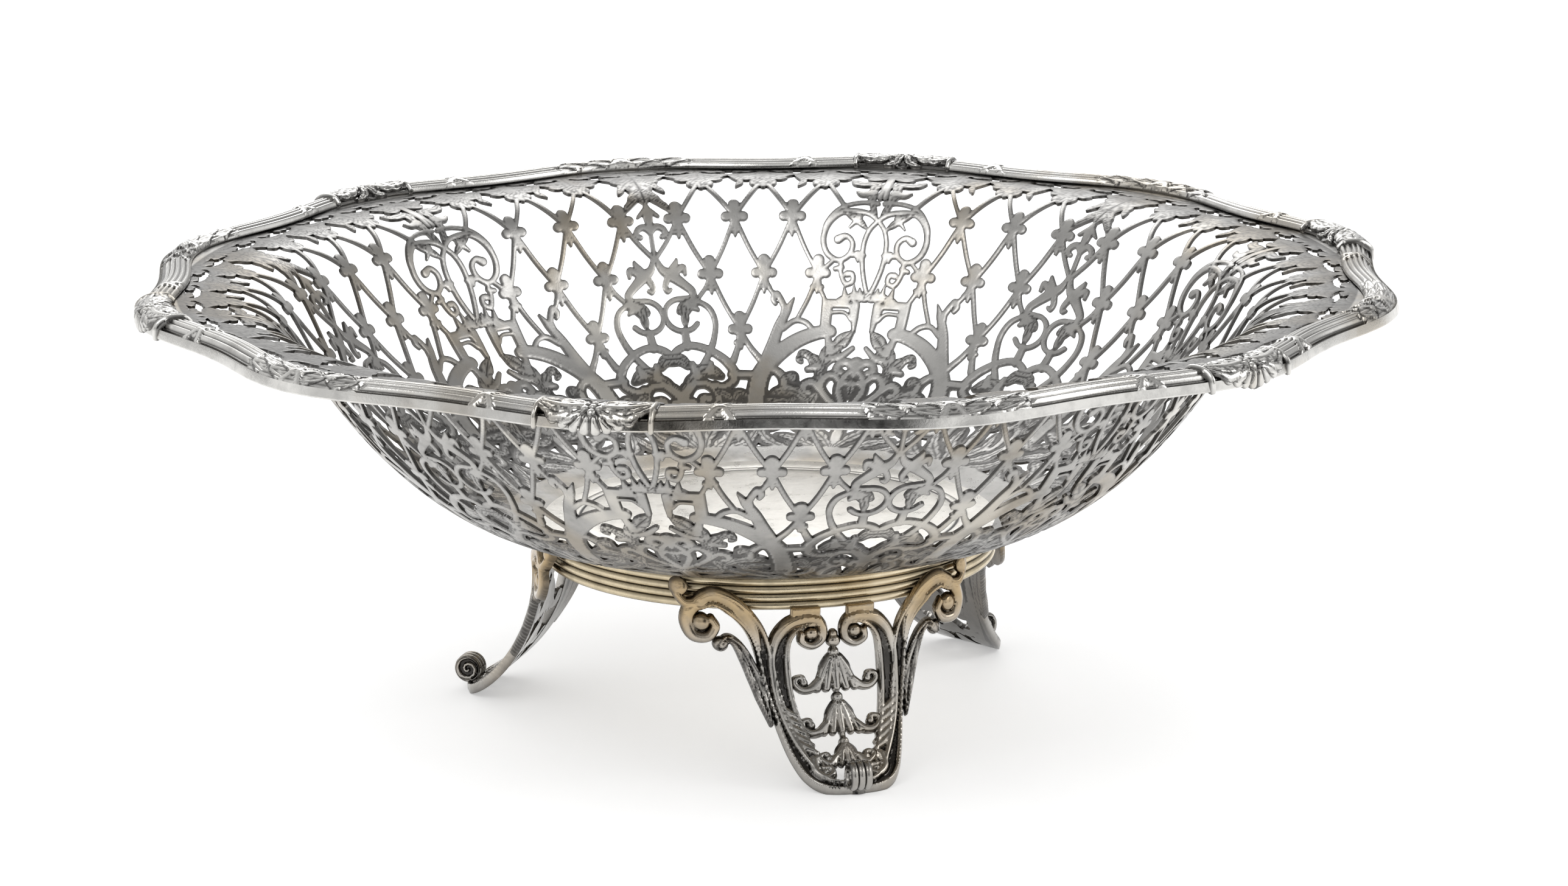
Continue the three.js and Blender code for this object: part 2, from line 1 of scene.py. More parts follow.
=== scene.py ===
"""A round pierced silver basket on three openwork feet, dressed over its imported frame.

Lengths inside the classes are millimetres. Azimuths start at the -Y side, where the first foot
stands, and run towards +X, as in the part's source.
"""

import logging
import math
from dataclasses import dataclass, field
from enum import Enum
from typing import Callable, Sequence

import bpy
import numpy as np
from mathutils import Matrix


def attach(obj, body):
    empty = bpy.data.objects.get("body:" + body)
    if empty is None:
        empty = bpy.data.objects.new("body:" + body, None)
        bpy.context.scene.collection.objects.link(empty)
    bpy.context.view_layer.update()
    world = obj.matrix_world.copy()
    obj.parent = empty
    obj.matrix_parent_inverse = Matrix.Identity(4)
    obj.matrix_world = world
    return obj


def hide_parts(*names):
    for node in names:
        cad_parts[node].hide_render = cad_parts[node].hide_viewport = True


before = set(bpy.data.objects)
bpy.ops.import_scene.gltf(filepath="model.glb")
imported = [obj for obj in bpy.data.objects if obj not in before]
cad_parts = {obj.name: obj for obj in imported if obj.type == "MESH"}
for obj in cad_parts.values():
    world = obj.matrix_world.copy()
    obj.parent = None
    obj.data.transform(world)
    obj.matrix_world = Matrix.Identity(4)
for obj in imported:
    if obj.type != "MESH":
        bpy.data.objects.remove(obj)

LOG = logging.getLogger("silver_basket")
MM = 0.001
SECTORS = 6
FEET = 3
FULL_TURN = 2 * math.pi
RING_RADIUS = 59.6
RING_BOTTOM = 42.4
FLOOR_HEIGHT = 51.5
EDGE_HEIGHT = 115.3
Array = np.ndarray
Piece = bpy.types.Object
Socket = bpy.types.NodeSocket
Colour = tuple[float, float, float]
Points = Sequence[Sequence[float]]
Drawing = Sequence[tuple]


class Section(Enum):
    """How a band or leaf stands up across its width."""

    FLAT = "flat"
    ROUND = "round"
    CHANNEL = "channel"
    LEAF = "leaf"
    CUT = "cut out"


class Slot(Enum):
    """The record's material slots."""

    OXIDISED = "oxidised_silver"
    BRIGHT = "bright_silver"
    TARNISHED = "tarnished_silver"


# Drawings, whose rows are points, widths, section, lobes and height, as Relief.lay takes them

FLAT, ROUND, CHANNEL, LEAF, CUT = Section

# A knot of the trellis: a tie of four lobes, the longest above, and a collar
KNOT: Drawing = (
    ([(0, 0), (0, 4.2)], [3, 3.3]),
    ([(0, 0)], [3.8]),
    ([(-2.3, 0.3)], [2.9]),
    ([(2.3, 0.3)], [2.9]),
    ([(0, -2.5)], [2.5]),
    ([(-1.5, -3.9), (1.5, -3.9)], [1.3]),
    ([(0, -3.8), (0, -5.6)], [1.8, 0.8]),
)
# The garland: leaves to one side of a bar's head, the pendant under it, and what lies between
GARLAND_SPRAY: Drawing = (
    ([(1, 123.4), (4.4, 121.2), (8.6, 122.8)], [3.8, 5.4, 2.6], LEAF, 3),
    ([(0.4, 117.6), (3.6, 115.2), (7.2, 116.6)], [3.4, 5.2, 1.6], LEAF, 4),
    ([(1.2, 114.6), (3.4, 112.2), (5.6, 112.8)], [2.6, 3.8, 1], LEAF, 2),
    ([(3, 118.4), (5, 118.8), (6.6, 118.4)], [0.3, 1.2, 0.5], CUT),
)
GARLAND_PENDANT: Drawing = (
    ([(0, 123.4), (0, 114), (0, 106.2)], [3.4, 5, 2.4], LEAF, 4),
    ([(0, 112), (-2.2, 109.6), (-2.4, 107.6)], [2.2, 2.6, 1.4], LEAF),
    ([(0, 112), (2.2, 109.6), (2.4, 107.6)], [2.2, 2.6, 1.4], LEAF),
)
GARLAND_SLIT: Drawing = (([(-1.7, 121.4), (0, 120.6), (1.7, 121.4)], [0.5, 1.5, 0.5], CUT),)
GARLAND_TIP: Drawing = (([(0, 116), (2.2, 110.4), (1, 106.4)], [2, 2.6, 1], LEAF, 2),)
# Over a foot: a pendant, a pair of circles with a leaf in each, and two arches filled with leaves
CIRCLE_PANEL: Drawing = (
    ([(0, 124), (0, 116), (0, 107), (0, 99)], [5, 6.4, 8, 0.8], LEAF, 4),
    ([(2, 124), (4.6, 117), (4.4, 111.4)], [3.4, 4.6, 1.6], LEAF, 3),
    ([(0.3, 114), (3.4, 109.5), (5.8, 104.4)], [2.6, 3.6, 1.2], LEAF, 3),
    ([(0.3, 106), (2.8, 103.2), (3.8, 100.4)], [2, 2.6, 1.2], LEAF, 2),
    ([(2.2, 101.6), (4.8, 99), (5.8, 97.4)], [2, 2.2, 1], LEAF),
    ([(0, 99.6), (0, 96.4), (0, 91.4)], [1.2, 3, 1.7]),
    ([(0, 98), (2.8, 95.4)], [2, 0.9]),
    ([(0, 90.5), (1.6, 92.2), (3.4, 91.6), (4.1, 89.9), (3, 89.2)], [1.5, 1.9, 1.8, 1.6, 1.5]),
    ([(0, 92), (0, 82)], [1.2]),
    ([(0.2, 83), (1.6, 79.5), (4, 77.6), (7.2, 74.8), (9.6, 72.4), (9.2, 70.4), (6.6, 70.2)],
     [1.2, 2.2, 3.4, 2.6, 2.2, 2, 1.8]),
    ([(3.4, 77.8), (5.4, 80.4), (6.2, 82.4)], [2.6, 2, 0.6]),
    ([(4.4, 77.4), (7.6, 79.8), (8.2, 77.6)], [2.2, 1.9, 1]),
    ([(3.2, 77.2), (1.9, 74.4), (2.3, 72.6), (3.3, 73.2)], [2, 1.6, 1.2, 1.1]),
    ([(5.6 + 5.35 * math.sin(a), 65.3 + 5 * math.cos(a)) for a in np.linspace(0.5, -4.1, 12)], [1.5]),
    ([(11.4, 69.8), (8.6, 68.6), (5.2, 66.6)], [1.4, 4.6, 3.6], LEAF, 2),
    ([(8, 69), (6.6, 65.6), (6.2, 61.5)], [3.6, 3.2, 1.2], LEAF, 2),
    ([(8.6, 68.4), (10.8, 66.6)], [3, 1]),
    ([(9.6, 70), (14, 67.2), (15.6, 62.6), (14.6, 57.4), (12.9, 53.6)], [1.4, 1.6, 1.6, 1.6, 1.6]),
    ([(5.7, 60.4), (5.6, 55.4)], [2, 2.2]),
    ([(0, 52.3), (2.6, 54.6), (6.6, 55.7), (11.6, 54.4), (16.4, 51.4), (19.4, 48), (20.2, 45.2),
      (19, 42.8), (15.6, 41.2), (12.8, 42)], [2, 1.9, 1.9, 1.9, 1.9, 1.8, 1.8, 1.6, 1.4, 1.6]),
    ([(19.4, 45.6), (26.4, 45.2)], [1.6]),
    ([(12.6, 53), (10.2, 49.4), (8.6, 47)], [1.2]),
    ([(0, 51.4), (2.6, 51.2), (4.6, 49.2)], [3.4, 3.2, 1.6], LEAF),
    ([(0.4, 40), (3, 42.6), (6.6, 45.2), (10.6, 47.4), (15.4, 45.2)], [1.4, 1.8, 3.4, 4.4, 1.8], LEAF, 4),
    ([(7, 45.4), (6.4, 49.8)], [2.6, 0.6]),
    ([(11.8, 46.8), (12.6, 49.6)], [2.6, 0.6]),
    ([(0.4, 36.4), (2.2, 40), (5.6, 42.6), (10, 42.6), (13.2, 39.6), (13.2, 36), (10.4, 33.8), (7.2, 35),
      (7.6, 37.4), (9.6, 37.2)], [2.2, 2.2, 1.8, 1.6, 1.6, 1.6, 1.6, 1.6, 1.5, 2.2]),
    ([(0, 30), (0, 35.4), (0, 39.4)], [3, 2.4, 1]),
    ([(0.3, 33), (2.4, 36.4), (4.2, 35.2), (3.9, 33.4)], [1.6, 1.8, 1.6, 1.4]),
    ([(12.8, 40), (16, 38.4), (18.6, 36.6)], [1.4, 3.2, 1], LEAF, 2),
    ([(13.4, 35.2), (17.4, 33.4), (21.4, 34.6)], [1.4, 2.6, 1.4], LEAF),
    ([(17.8, 33), (20.6, 38.6), (24.4, 37.8)], [1.4, 2.2, 1], LEAF),
    ([(0, 31), (0, 22), (0, 13)], [3, 4.6, 2.4], LEAF, 3),
    ([(1, 14), (4.6, 20), (8.4, 25), (8.2, 30.4)], [1.8, 3.4, 3.6, 1.4], LEAF, 3),
    ([(3, 13), (9, 17.4), (15.4, 21.6), (19, 28)], [1.8, 3.6, 4, 1.4], LEAF, 4),
    ([(9, 13), (16, 15.6), (23, 18.6), (27.4, 24.6)], [1.8, 3.2, 3.6, 1.4], LEAF, 4),
    ([(10.4, 34), (13.4, 29.4), (13, 25.4), (10.6, 24.6)], [1.4, 1.8, 1.6, 1.8]),
    ([(16.4, 33.4), (17.8, 28.6), (22.6, 26.2), (25.4, 28.4), (24.4, 31.4)], [1.4, 1.6, 1.8, 1.6, 1.4]),
)
# Under a clasp, above the stepped arch: two C-scrolls on a pointed oval
SCROLL_PANEL_TOP: Drawing = (
    ([(0, 124), (0.2, 112), (0.6, 101)], [3.4, 1.8, 1.4]),
    ([(1.6, 124), (4, 118), (3.4, 112.6)], [3.4, 4.4, 1.6], LEAF, 3),
    ([(5.8, 118.6), (5.6, 121.4)], [0.6, 1.4], CUT),
    ([(0.6, 94), (2.4, 99.4), (3, 104.6), (2.2, 109.4)], [1.3, 2.4, 3.6, 2], LEAF, 3),
    ([(2.6, 103.4), (5.4, 102.6), (7, 103.8)], [2.4, 2, 0.8]),
    ([(2.4, 109), (6.6, 108.2), (9, 110.4)], [2.2, 3.8, 1.6], LEAF, 2),
    ([(0, 93.6), (3.4, 95.9), (9.2, 96.2), (13, 92.8), (14.5, 87.8), (13.2, 83.4), (9.8, 81.4),
      (6.9, 83.2), (6.3, 86.6), (8.2, 88.7), (10.4, 87.6)],
     [1.3, 1.5, 1.6, 1.6, 1.7, 1.7, 1.6, 1.6, 1.5, 1.5, 2.6]),
    ([(0.8, 99.2), (5.6, 99.3), (10.6, 97.2), (13.8, 92.8), (14.7, 88.6)], [1.3, 1.2, 1.2, 1.2, 1.2]),
    ([(9.4, 96), (5.6, 93.6), (2.6, 90.8)], [1, 2.8, 0.8], LEAF, 2),
    ([(5.2, 94.4), (7.6, 91.2)], [2, 0.7]),
    ([(0.2, 93.4), (2.2, 90.4), (3.2, 86), (2.9, 80), (1.6, 74.6), (0, 70.6)], [1.4]),
    ([(2.8, 83.2), (6.8, 83)], [1.4]),
    ([(4.6, 83.4), (4.4, 81.4)], [2.2, 1]),
    ([(9, 81.6), (8.8, 77.6), (7.2, 74.4), (5.2, 75.2), (5.4, 77.4), (6.9, 77.4)],
     [1.3, 1.4, 1.5, 1.5, 1.4, 2]),
    ([(8.7, 79.4), (10.6, 78.8)], [1.6, 1.4]),
    ([(0, 70), (4, 70.6), (9, 69)], [2.4, 3, 2.2], LEAF, 3),
    ([(2.2, 70.2), (2.8, 73.4)], [2.2, 0.4]),
    ([(4, 70.2), (4.6, 74.2)], [2.2, 0.4]),
    ([(6.8, 70.2), (7.4, 73.6)], [2.2, 0.4]),
)
# Below that arch: broad arms with a horn leaf outside each, stems, leaves and a heart
SCROLL_PANEL_LOW: Drawing = (
    ([(10.2, 59.7), (14.6, 59), (20, 56.9), (25, 53.6), (29.4, 49.6), (32.8, 44.4), (34.3, 38.4),
      (35.2, 31)], [3.6, 4, 4.2, 4.4, 4.5, 4.4, 4.3, 4.4]),
    ([(30.4, 49.4), (28.4, 55.2), (26.4, 61), (24, 66), (22, 69.8)], [3.6, 3.2, 3, 2.4, 0.5]),
    ([(25, 64.4), (25, 67.4), (25.6, 70.2)], [2.2, 1.6, 0.4]),
    ([(25.2, 67.2), (27, 71), (28.2, 69.6), (27.6, 68)], [1.4, 1.8, 1.8, 1.2]),
    ([(15.6, 59.8), (18.2, 62.3), (21.6, 62.8), (25.2, 60.2)], [1.6]),
    ([(3.4, 68), (3.2, 64), (2.9, 59.8)], [2.6, 2.2, 1.2]),
    ([(5, 68), (4.2, 63.4), (6.4, 65.6), (10.4, 65.6)], [1, 0.9, 1, 1]),
    ([(11.6, 41), (11.8, 47), (9.6, 52.6), (6.2, 56.6), (2.6, 60)], [1.5, 2.4, 4.8, 4.6, 1], LEAF, 3),
    ([(9.2, 53), (10.6, 57.4), (9.4, 60.2)], [2.2, 1.8, 0.5]),
    ([(10.4, 50.6), (6.2, 51.4), (2.2, 54.6)], [1.2, 1.4, 1]),
    ([(11.8, 46.4), (14.6, 50.4), (18.4, 52.6), (19.6, 50.8), (18.8, 49.8)],
     [2.4, 3, 1.6, 1.3, 1], LEAF, 3),
    ([(13.4, 48), (16.4, 47.2)], [2, 0.8]),
    ([(0, 47.6), (2.6, 49.8), (5.2, 49.6), (6.4, 47.4), (5, 46.2)], [2.4, 1.8, 1.6, 1.5, 1.8]),
    ([(0, 49.6), (0, 45.4)], [3.4, 1.4]),
    ([(0, 48), (3.2, 44.6), (4.6, 41.4), (3.6, 37.6), (0.4, 32)], [1.3, 1.5, 1.5, 1.5, 1.6]),
    ([(4.4, 42.8), (7, 45.4), (9.8, 44.6), (11.6, 41.4)], [1.4, 1.6, 1.7, 1.5]),
    ([(0, 42.2), (0, 38.8)], [3.2, 1.6], LEAF),
    ([(0, 42), (2.6, 42.8), (4.2, 41.6)], [1.4, 1.3, 1.3]),
    ([(0.4, 31.5), (5.6, 35), (9.8, 38.6), (11.8, 42.2)], [1.8, 1.6, 1.6, 1.5]),
    ([(10.4, 39.4), (14.2, 42.6), (17.2, 41.4), (17, 38.8), (15.4, 38.6)], [1.6, 1.8, 1.7, 1.5, 1.6]),
    ([(4.6, 34.2), (10.4, 33.2), (15.2, 34.8)], [1.2, 3, 1.4], LEAF, 3),
    ([(12.4, 38.2), (14.2, 34.4), (13.8, 31.8)], [2.8, 3.4, 1.6], LEAF, 2),
    ([(14.4, 35.2), (19.6, 38.6), (24, 39.6), (28.6, 38.4)], [1.4, 4, 4.2, 1], LEAF, 4),
    ([(19.6, 36.2), (24.6, 35.2), (30.4, 36.2)], [1.4, 3, 1.4], LEAF, 3),
    ([(24, 40.4), (25, 44.4), (27.8, 46.8), (31, 46.2)], [1.5, 1.6, 1.5, 1.5]),
    ([(24.8, 44), (21.6, 44.6), (20.6, 42.8)], [1.4, 2.4, 1], LEAF),
    ([(20.4, 37), (22.2, 33), (26.6, 31.6)], [1.4, 2.2, 1.4], LEAF),
    ([(0.4, 32), (0.3, 24), (0, 13)], [1.8, 2.2, 3.4]),
    ([(0.8, 30.6), (6.2, 28.4), (11.6, 29.8), (14.2, 32)], [1.6, 2.8, 3, 1.4], LEAF, 3),
    ([(0.8, 15), (6, 20.4), (12.4, 24.2), (19.4, 25.6)], [1.8, 3.6, 4.2, 1.2], LEAF, 4),
    ([(3, 13), (10, 16.2), (18, 19.4), (26, 21.4)], [1.8, 3.2, 3.8, 1.2], LEAF, 4),
    ([(16, 13), (24, 15.4), (31, 19.4), (34.6, 26)], [1.8, 3, 3.6, 1.4], LEAF, 4),
    ([(15.8, 32.6), (19.6, 29.2), (25.2, 27.2), (30.6, 24.4)], [1.4, 2.8, 3.2, 1.2], LEAF, 3),
    ([(26.4, 31.6), (30.4, 29.4), (35.2, 31.4)], [1.4, 2.4, 3], LEAF, 2),
)
# Half a clasp: its ground, its leaves, then a curl, the flower's middle and the collar at its end
CLASP_GROUND: Drawing = (
    ([(0, 1.8), (0, 12.8)], [4, 5.4], FLAT, 0, 0.2),
    ([(1, 6.6), (12.6, 6.2)], [7.4, 7], FLAT, 0, 0.2),
)
CLASP_LEAVES: Drawing = (
    ([(1.6, 6.8), (6, 4.6), (10, 4.2), (13.6, 5.6)], [2.4, 5, 4.6, 1.8], LEAF, 4, 0.85),
    ([(1.6, 8.6), (5.6, 10.4), (9.6, 10), (13.4, 8)], [2.4, 4.8, 4.4, 1.8], LEAF, 4, 0.8),
    ([(2.4, 7.6), (7.6, 7.8), (13, 6.8)], [1.6, 2.4, 1.4], ROUND),
    ([(0.6, 4.6), (2.2, 2), (5.4, 1)], [1.8, 2.8, 1.2], LEAF, 2, 0.9),
)
CLASP_FLOWER: Drawing = (
    ([(3, 5.2), (5.6, 3.4), (8, 4.4), (7.8, 6.6), (6.2, 6.6)], [1.1, 1.6, 1.6, 1.4, 1.4], ROUND),
    ([(0, 7.6)], [2.2], ROUND),
    ([(14.1, 1.6), (14.1, 14)], [1.5], ROUND),
)
# Half a foot: a stile that ends in a volute and a tendril, the C-scroll inside it, and leaves
FOOT_SCROLLS: Drawing = (
    ([(34.4, 5.4), (31, 4), (26.4, 5.7), (22.4, 9.3), (19.5, 14), (17.9, 20), (16.8, 28), (15.2, 36),
      (13.3, 45), (11.9, 50), (10.4, 54), (8.2, 57.4), (4.8, 59.6), (0, 60.4)],
     [4.2, 4.9, 5.1, 5, 4.8, 4.4, 4.2, 4.2, 4.4, 4.6, 4.8, 4.8, 4.6, 4.4], CHANNEL),
    ([(34.6, 4.6), (31, 3.2), (26.8, 4.6), (23.2, 8), (20.6, 12.6), (19.2, 18)],
     [3.4, 4.2, 4.4, 4, 3.2, 1.4], ROUND),
    ([(34, 5), (36.8, 7), (37.6, 10.6), (35.8, 14.2), (32.2, 14.6), (30.2, 12), (31.2, 9.6)],
     [4.2, 3.9, 3.6, 3.4, 3.1, 2.7, 2.2], ROUND, 0, 0.95),
    ([(33.9, 10.6)], [5], ROUND),
    ([(35.2, 5.4), (38.2, 5.6), (40.4, 3.6)], [3, 2.6, 2.2], ROUND),
    ([(39.9, 1.6)], [5.2], ROUND),
    ([(29, 17.2), (27.2, 14.9), (24.8, 16.4), (22.6, 20.4), (20.8, 25.4), (19.4, 31), (17.8, 38.5)],
     [2.2, 2.2, 2.6, 3.4, 3.6, 3, 1], LEAF),
    ([(28.8, 16.6)], [4], ROUND, 0, 0.9),
    ([(4.4, 10.5), (7.4, 10.3), (10.8, 12), (13.2, 15.4), (14.1, 20), (14.2, 26), (13.9, 31), (12.9, 37),
      (11.3, 43), (9.6, 48), (8.2, 51.6)],
     [3.2, 3.8, 4.6, 5.2, 5.6, 5.8, 5.6, 5.4, 5, 4.4, 3.6], CHANNEL),
    ([(6.8, 9.9), (11.2, 11.1), (14.6, 14.8), (16.1, 20), (16.3, 26), (15.6, 32)],
     [3.6, 3.8, 3.2, 2.4, 1.8, 1], ROUND),
    ([(6.8, 9.9), (4.2, 10.6), (2.8, 13), (3.2, 16), (5.6, 17.6), (8.1, 16.4), (8.2, 14)],
     [3.6, 3.2, 2.6, 2.5, 2.5, 2.3, 1.9], ROUND),
    ([(5.7, 14.2)], [3.8], ROUND, 0, 0.9),
)
# The volute and tongue between the stiles' feet
FOOT_TONGUE: Drawing = (
    ([(8.8, 49.6), (9, 53.2), (7.2, 55.8), (5, 55), (5.2, 52.9), (6.8, 52.9)],
     [3.2, 2.8, 2.5, 2.3, 2.1, 1.9], ROUND, 0, 1.05),
    ([(6.7, 54)], [2.4], ROUND, 0, 1),
    ([(0, 52.6), (0, 56), (0, 60.6)], [2.4, 4.2, 5.2], ROUND, 0, 0.8),
    ([(0, 53.2), (0, 56.6), (0, 60.6)], [1, 1.7, 2], ROUND),
    ([(0.76, 53.2), (1.52, 56.6), (1.9, 60.6)], [1, 1.7, 2], ROUND),
)
# The bellflowers' stem with its pearl, and the beads between the bells
DROP_STEM: Drawing = (
    ([(0, 14.6), (0, 16.4)], [2.4], ROUND, 0, 0.6),
    ([(0, 16.6)], [3.8], ROUND, 0, 1.05),
    ([(0, 19.6)], [2.7], ROUND),
    ([(0, 17), (0, 50)], [1.4], ROUND, 0, 0.6),
)
DROP_BEADS: Drawing = (
    ([(0, 32)], [3], ROUND),
    ([(0, 44.5)], [2.7], ROUND),
)


# Curves and surfaces


def bezier(points: Points, count: int) -> Array:
    """A cubic curve: each of its four points is weighted by its Bernstein polynomial.

    Args:
        points: The four points of the curve.
        count: How many places to work out.

    Returns:
        An array of count rows of two values.
    """
    p = np.asarray(points, float)
    t = np.linspace(0, 1, count)[:, None]
    return (1 - t) ** 3 * p[0] + 3 * t * (1 - t) ** 2 * p[1] + 3 * t * t * (1 - t) * p[2] + t**3 * p[3]


def flowing(points: Points, samples: int = 7) -> Array:
    """A curve through all its points: each span blends its four nearest points by cubic weights.

    Args:
        points: The points that it passes through.
        samples: How many places in each span.

    Returns:
        An array of two-valued rows.
    """
    p = np.asarray(points, float)
    ends = np.vstack([2 * p[0] - p[1], p, 2 * p[-1] - p[-2]])
    t = np.arange(samples) / samples
    weights = 0.5 * np.stack(
        [-t + 2 * t**2 - t**3, 2 - 5 * t**2 + 3 * t**3, t + 4 * t**2 - 3 * t**3, -(t**2) + t**3]
    )
    spans = np.stack([ends[k : len(p) - 1 + k] for k in range(4)])
    curve = np.einsum("ks,knd->nsd", weights, spans).reshape(-1, 2)
    return np.vstack([curve, p[-1]])


def smooth_step(value: Array, low: float, high: float) -> Array:
    """0 below low, 1 above high and an even S between them."""
    t = np.clip((value - low) / (high - low), 0, 1)
    return t * t * (3 - 2 * t)


def polar(azimuth: Array, radius: Array, height: Array) -> Array:
    """Points round the basket's axis: x is r sin a, y is -r cos a and z the height."""
    azimuth, radius, height = np.broadcast_arrays(azimuth, radius, height)
    return np.stack([radius * np.sin(azimuth), -radius * np.cos(azimuth), height], -1)


class Profile:
    """A curve in the half plane of radius and height, read by its length along it."""

    def __init__(self, points: Array) -> None:
        """Keeps the curve with its lengths and directions.

        Args:
            points: Close points of the curve, in order.
        """
        steps = np.hypot(*np.diff(points, axis=0).T)
        self.distance = np.concatenate([[0.0], np.cumsum(steps)])
        self.points = points
        tangent = np.gradient(points, self.distance, axis=0)
        self.tangent = tangent / np.linalg.norm(tangent, axis=1)[:, None]
        self.length = float(self.distance[-1])

    def at(self, distance: Array, offset: Array) -> tuple[Array, Array]:
        """The curve's point moved offset to its left, run on straight beyond its ends.

        Args:
            distance: Length along the curve.
            offset: Distance to the left of it.

        Returns:
            Radius and height.
        """
        inside = np.clip(distance, 0, self.length)
        beyond = distance - inside
        known = (*self.points.T, *self.tangent.T)
        r, z, tr, tz = (np.interp(inside, self.distance, values) for values in known)
        return r + beyond * tr - offset * tz, z + beyond * tz + offset * tr


def wall_profile() -> Profile:
    """The middle of the bowl's sheet from the edge of its floor to the border: two cubic curves
    that share the steepest slope of the wall.

    Returns:
        The profile.
    """
    leaving, steepest = (np.array([math.cos(a), math.sin(a)]) for a in np.radians([16.6, 56.7]))
    floor, belly = np.array([RING_RADIUS, FLOOR_HEIGHT]), np.array([118.0, 95.0])
    lower = bezier([floor, floor + 7.6 * leaving, belly - 50 * steepest, belly], 400)
    upper = bezier([belly, belly + 19.2 * steepest, (127.35, EDGE_HEIGHT), (157.25, EDGE_HEIGHT)], 300)
    return Profile(np.vstack([lower, upper[1:]]))


def leg_profile() -> Profile:
    """The back of a leg: straight behind the ring, then a cubic curve down to the sole.

    Returns:
        The profile.
    """
    bend = (RING_RADIUS + 0.3, RING_BOTTOM)
    top = np.linspace((bend[0], 48.6), bend, 12)
    curve = bezier([bend, (56.4, 25.4), (68.5, 3.5), (82.5, -0.5)], 300)
    return Profile(np.vstack([top, curve[1:]]))


# Meshes


def mesh_piece(
    name: str,
    vertices: Array,
    faces: Sequence[Array],
    ink: Array | None = None,
    sharp: float = 40.0,
) -> Piece:
    """Makes a mesh object at the origin.

    Args:
        name: The piece's name.
        vertices: Its points in millimetres.
        faces: Arrays of triangles or of quads.
        ink: How dark each point is, from 0 to 1.
        sharp: The angle in degrees from which an edge stays crisp.

    Returns:
        The object, linked to the scene.
    """
    mesh = bpy.data.meshes.new(name)
    mesh.from_pydata((vertices * MM).tolist(), [], [f for group in faces for f in group.tolist()])
    mesh.shade_smooth()
    mesh.set_sharp_from_angle(angle=math.radians(sharp))
    if ink is not None:
        layer = mesh.attributes.new("ink", "FLOAT", "POINT")
        layer.data.foreach_set("value", ink.astype(np.float32))
    piece = bpy.data.objects.new(name, mesh)
    bpy.context.scene.collection.objects.link(piece)
    return piece


def grid_faces(rows: int, columns: int, around: bool = False, closed: bool = False) -> Array:
    """Quads of a grid whose points run row by row.

    Args:
        rows: Number of rows of points.
        columns: Number of points in a row.
        around: Whether each row's end joins its start.
        closed: Whether the last row joins the first.

    Returns:
        An array of quads.
    """
    i = np.arange(rows if closed else rows - 1)[:, None]
    j = np.arange(columns if around else columns - 1)[None, :]
    here, following = i * columns, (i + 1) % rows * columns
    beside = (j + 1) % columns
    corners = [here + j, here + beside, following + beside, following + j]
    return np.stack(np.broadcast_arrays(*corners), -1).reshape(-1, 4)


def fan(ring: Array, tip: int) -> Array:
    """Triangles from a closed ring of points to one tip: the tip, a point and the next point."""
    return np.stack([np.full(ring.size, tip), ring, np.roll(ring, -1)], -1)


def turned(name: str, radius: Array, height: Array, ink: Array, stations: int) -> Piece:
    """Turns a closed section about the basket's axis.

    Args:
        name: The piece's name.
        radius: The section's radii, in clockwise order round it.
        height: Its heights.
        ink: How dark each of its points is.
        stations: How many copies of it stand round the axis.

    Returns:
        The mesh object.
    """
    azimuth = np.linspace(0, FULL_TURN, stations, endpoint=False)[:, None]
    points = polar(azimuth, radius[None, :], height[None, :]).reshape(-1, 3)
    faces = grid_faces(stations, radius.size, around=True, closed=True)
    return mesh_piece(name, points, [faces], np.tile(ink, stations))


